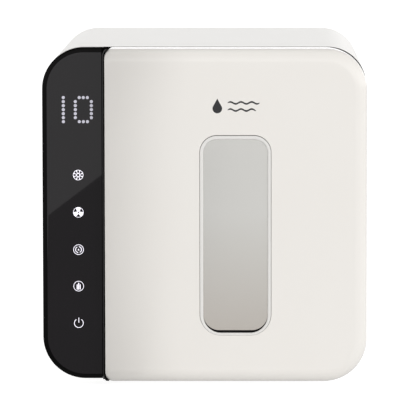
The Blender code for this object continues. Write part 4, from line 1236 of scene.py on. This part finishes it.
def inlet_body(bm):
    o = lambda g: round_rect(-136.6 + g, -103.4 - g, 38.4 + g, 65.6 - g, 2.2, 6)
    loft(bm, [at_y(o(0), 124), at_y(o(0), 146.3), at_y(o(0.5), 146.8)])


inlet = piece("mains_inlet", inlet_body, "black_plastic", "cabinet", ["power_inlet"])


def inlet_cut(bm):
    o = round_rect(-131, -109, 45, 59, 6.9, 10)
    loft(bm, [at_y(o, 130), at_y(o, 150)])


change(inlet, inlet_cut)


def inlet_pins(bm):
    for x in (-124.5, -115.5):
        lathe(bm, "y", (x, 134.5, 52), [(1.2, -4.4), (1.2, 4.2), (0.9, 4.9), (0.4, 5.2)], 20)


piece("inlet_contacts", inlet_pins, "steel_wire", "cabinet")

# ---------------------------------------------------------------- carried over CAD nodes
KEEP = {
    "panel_board": "board", "power_board": "board", "dot_matrix_display": "display", "touch_sensor_film": "film",
    "buzzer": "relay_black", "control_cable": "cable_grey", "lamp_ballast": "steel_plain", "power_transformer": "transformer",
    "filter_capacitor": "capacitor", "relay": "relay_black", "mains_wire": "rubber_black", "fan_housing": "black_plastic",
    "fan_motor": "steel_plain", "ptc_heater": "heater", "air_duct": "steel_plain", "thermal_cutout": "bush",
    "door_switch": "relay_black", "catch_plate": "steel_plain", "door_magnet": "steel_plain", "switch_plunger": "plunger_red",
    "fan_impeller": "black_plastic", "air_filter": "filter_media",
}
for node, mat in KEEP.items():
    obj = NODES[node]
    if not obj.material_slots:
        obj.data.materials.append(M[mat])
    for s in obj.material_slots:
        s.material = M[mat]


# ---------------------------------------------------------------- stage
def stage_plane(name, outline, z):
    mesh = bpy.data.meshes.new(name)
    mesh.from_pydata([(x, y, z) for x, y in outline], [], [tuple(range(len(outline)))])
    obj = bpy.data.objects.new(name, mesh)
    bpy.context.scene.collection.objects.link(obj)
    obj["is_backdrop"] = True
    return obj


floor = stage_plane("floor", [(-40, -40), (40, -40), (40, 40), (-40, 40)], 0.0)


def floor_material():
    m, nt, b, at = tree("floor_white")
    out = next(n for n in nt.nodes if n.type == "OUTPUT_MATERIAL")
    nt.nodes.remove(b)
    diffuse = nt.nodes.new("ShaderNodeBsdfDiffuse")
    nt.links.new(blend_rgb(nt, noise(nt, at, 3.0), (0.45, 0.45, 0.45), (0.47, 0.47, 0.47)), diffuse.inputs["Color"])
    glow = nt.nodes.new("ShaderNodeEmission")
    path = nt.nodes.new("ShaderNodeLightPath")
    seen = None
    for ray, extra in (("Is Camera Ray", FLOOR_CAMERA - FLOOR_OTHER), ("Is Glossy Ray", FLOOR_GLOSSY - FLOOR_OTHER)):
        part = nt.nodes.new("ShaderNodeMath")
        part.operation = "MULTIPLY_ADD"
        nt.links.new(path.outputs[ray], part.inputs[0])
        part.inputs[1].default_value = extra
        if seen is None:
            part.inputs[2].default_value = FLOOR_OTHER
        else:
            nt.links.new(seen, part.inputs[2])
        seen = part.outputs[0]
    nt.links.new(seen, glow.inputs["Strength"])
    add = nt.nodes.new("ShaderNodeAddShader")
    nt.links.new(diffuse.outputs[0], add.inputs[0])
    nt.links.new(glow.outputs[0], add.inputs[1])
    nt.links.new(add.outputs[0], out.inputs[0])
    return m


FLOOR_CAMERA, FLOOR_GLOSSY, FLOOR_OTHER = 0.89, 0.50, 0.16
floor.data.materials.append(floor_material())


def dark_card(name, level):
    m = bpy.data.materials.new(name)
    m.use_nodes = True
    nt = m.node_tree
    nt.nodes.clear()
    out = nt.nodes.new("ShaderNodeOutputMaterial")
    e = nt.nodes.new("ShaderNodeEmission")
    e.inputs["Strength"].default_value = level
    nt.links.new(e.outputs[0], out.inputs[0])
    return m


# its far edge runs along the line seen as the slanting reflection in the control glass
CARD_A, CARD_B = Vector((-0.24068, -1.3265)), Vector((-0.19115, -1.7996))
card_far = lambda x: CARD_A.y + (CARD_B.y - CARD_A.y) / (CARD_B.x - CARD_A.x) * (x - CARD_A.x)
card = stage_plane("reflection_card", [(-0.355, -0.16), (-0.06, -0.16), (-0.06, card_far(-0.06)), (-0.355, card_far(-0.355))], 0.002)
card.data.materials.append(dark_card("card_dark", 0.36))
for key in ("visible_camera", "visible_diffuse", "visible_shadow", "visible_transmission", "visible_volume_scatter"):
    setattr(card, key, False)

WORLD = 1.285
world = bpy.data.worlds.new("studio")
bpy.context.scene.world = world
world.use_nodes = True
wt = world.node_tree
wt.nodes.clear()
w_out = wt.nodes.new("ShaderNodeOutputWorld")
w_bg = wt.nodes.new("ShaderNodeBackground")
wt.links.new(w_bg.outputs[0], w_out.inputs[0])
w_tc = wt.nodes.new("ShaderNodeTexCoord")
w_split = wt.nodes.new("ShaderNodeSeparateXYZ")
wt.links.new(w_tc.outputs["Generated"], w_split.inputs[0])


def w_node(kind, a, b, op=None):
    n = wt.nodes.new("ShaderNodeMath")
    n.operation = kind
    for k, v in enumerate((a, b)):
        if isinstance(v, (int, float)):
            n.inputs[k].default_value = v
        else:
            wt.links.new(v, n.inputs[k])
    return n.outputs[0]


def w_range(value, a, b, lo, hi):
    n = wt.nodes.new("ShaderNodeMapRange")
    n.interpolation_type = "SMOOTHSTEP"
    for key, v in (("From Min", a), ("From Max", b), ("To Min", lo), ("To Max", hi)):
        n.inputs[key].default_value = v
    wt.links.new(value, n.inputs["Value"])
    return n.outputs["Result"]


# bright round the horizon, dimmer overhead, a little stronger from the right and from low behind
sky_up = w_range(w_split.outputs["Z"], 0.15, 0.62, 1.04, 0.52)
sideways = wt.nodes.new("ShaderNodeMath")
sideways.operation = "ABSOLUTE"
wt.links.new(w_split.outputs["X"], sideways.inputs[0])
sky_side = w_node("ADD", w_range(w_split.outputs["X"], -1.0, 1.0, 0.90, 1.08), w_range(sideways.outputs[0], 0.45, 0.95, 0.0, 0.24))
behind = w_range(w_split.outputs["Y"], 0.0, 0.6, 0.0, 1.0)
low = w_range(w_split.outputs["Z"], 0.12, 0.60, 0.22, 0.0)
ahead = w_range(w_split.outputs["Y"], -0.6, 0.0, 0.22, 0.0)
sky = w_node("MULTIPLY", w_node("MULTIPLY", sky_up, sky_side), w_node("ADD", w_node("ADD", 1.0, ahead), w_node("MULTIPLY", behind, low)))
wt.links.new(w_node("MULTIPLY", sky, WORLD), w_bg.inputs["Strength"])


def edge_spot(name, place, edge_at, half, blend, power):
    """A spot whose left rim falls across the door, so that the door brightens away from the column."""
    data = bpy.data.lights.new(name, "SPOT")
    data.energy = power
    data.spot_size = 2 * half
    data.spot_blend = blend
    data.shadow_soft_size = 0.035
    obj = bpy.data.objects.new(name, data)
    obj.location = place
    to_edge = (Vector(edge_at) - Vector(place)).normalized()
    aim = Matrix.Rotation(-half, 3, "Z") @ to_edge
    obj.rotation_euler = aim.to_track_quat("-Z", "Y").to_euler()
    obj.visible_glossy = False
    bpy.context.scene.collection.objects.link(obj)
    return obj


edge_spot("key", (2.5, -4.0, 0.62), (-0.074, -0.15, 0.15), math.radians(9), 0.02, 245.0)

# ---------------------------------------------------------------- camera
cam_data = bpy.data.cameras.new("camera")
cam = bpy.data.objects.new("camera", cam_data)
bpy.context.scene.collection.objects.link(cam)
cam.location = (0.0524, -2.8755, 0.5370)
cam.rotation_euler = (math.radians(86), 0, 0)
cam_data.sensor_width = 36.0
cam_data.lens = 249.441
cam_data.clip_start, cam_data.clip_end = 0.05, 100.0
bpy.context.scene.camera = cam
# The photograph's frame looks down past a level camera, so the lens is shifted while the camera stands there.
for prop, value in (("shift_x", -0.1256), ("shift_y", -0.42956)):
    curve = cam_data.driver_add(prop)
    driver = curve.driver
    driver.type = "SCRIPTED"
    for letter, channel in (("y", "LOC_Y"), ("z", "LOC_Z")):
        var = driver.variables.new()
        var.name = letter
        var.type = "TRANSFORMS"
        var.targets[0].id = cam
        var.targets[0].transform_type = channel
        var.targets[0].transform_space = "WORLD_SPACE"
    driver.expression = f"{value} if abs(y + 2.8755) + abs(z - 0.5370) < 0.001 else 0.0"

scene = bpy.context.scene
scene.view_settings.view_transform = "Standard"
scene.view_settings.look = "None"
scene.view_settings.exposure = 0.0
scene.view_settings.gamma = 1.0
bpy.context.view_layer.update()

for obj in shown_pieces():
    if obj.name not in NODES and obj.type == "MESH":
        wn = obj.modifiers.new("normals", "WEIGHTED_NORMAL")
        wn.mode = "FACE_AREA"
        wn.weight = 50
        wn.keep_sharp = True
bpy.context.view_layer.update()
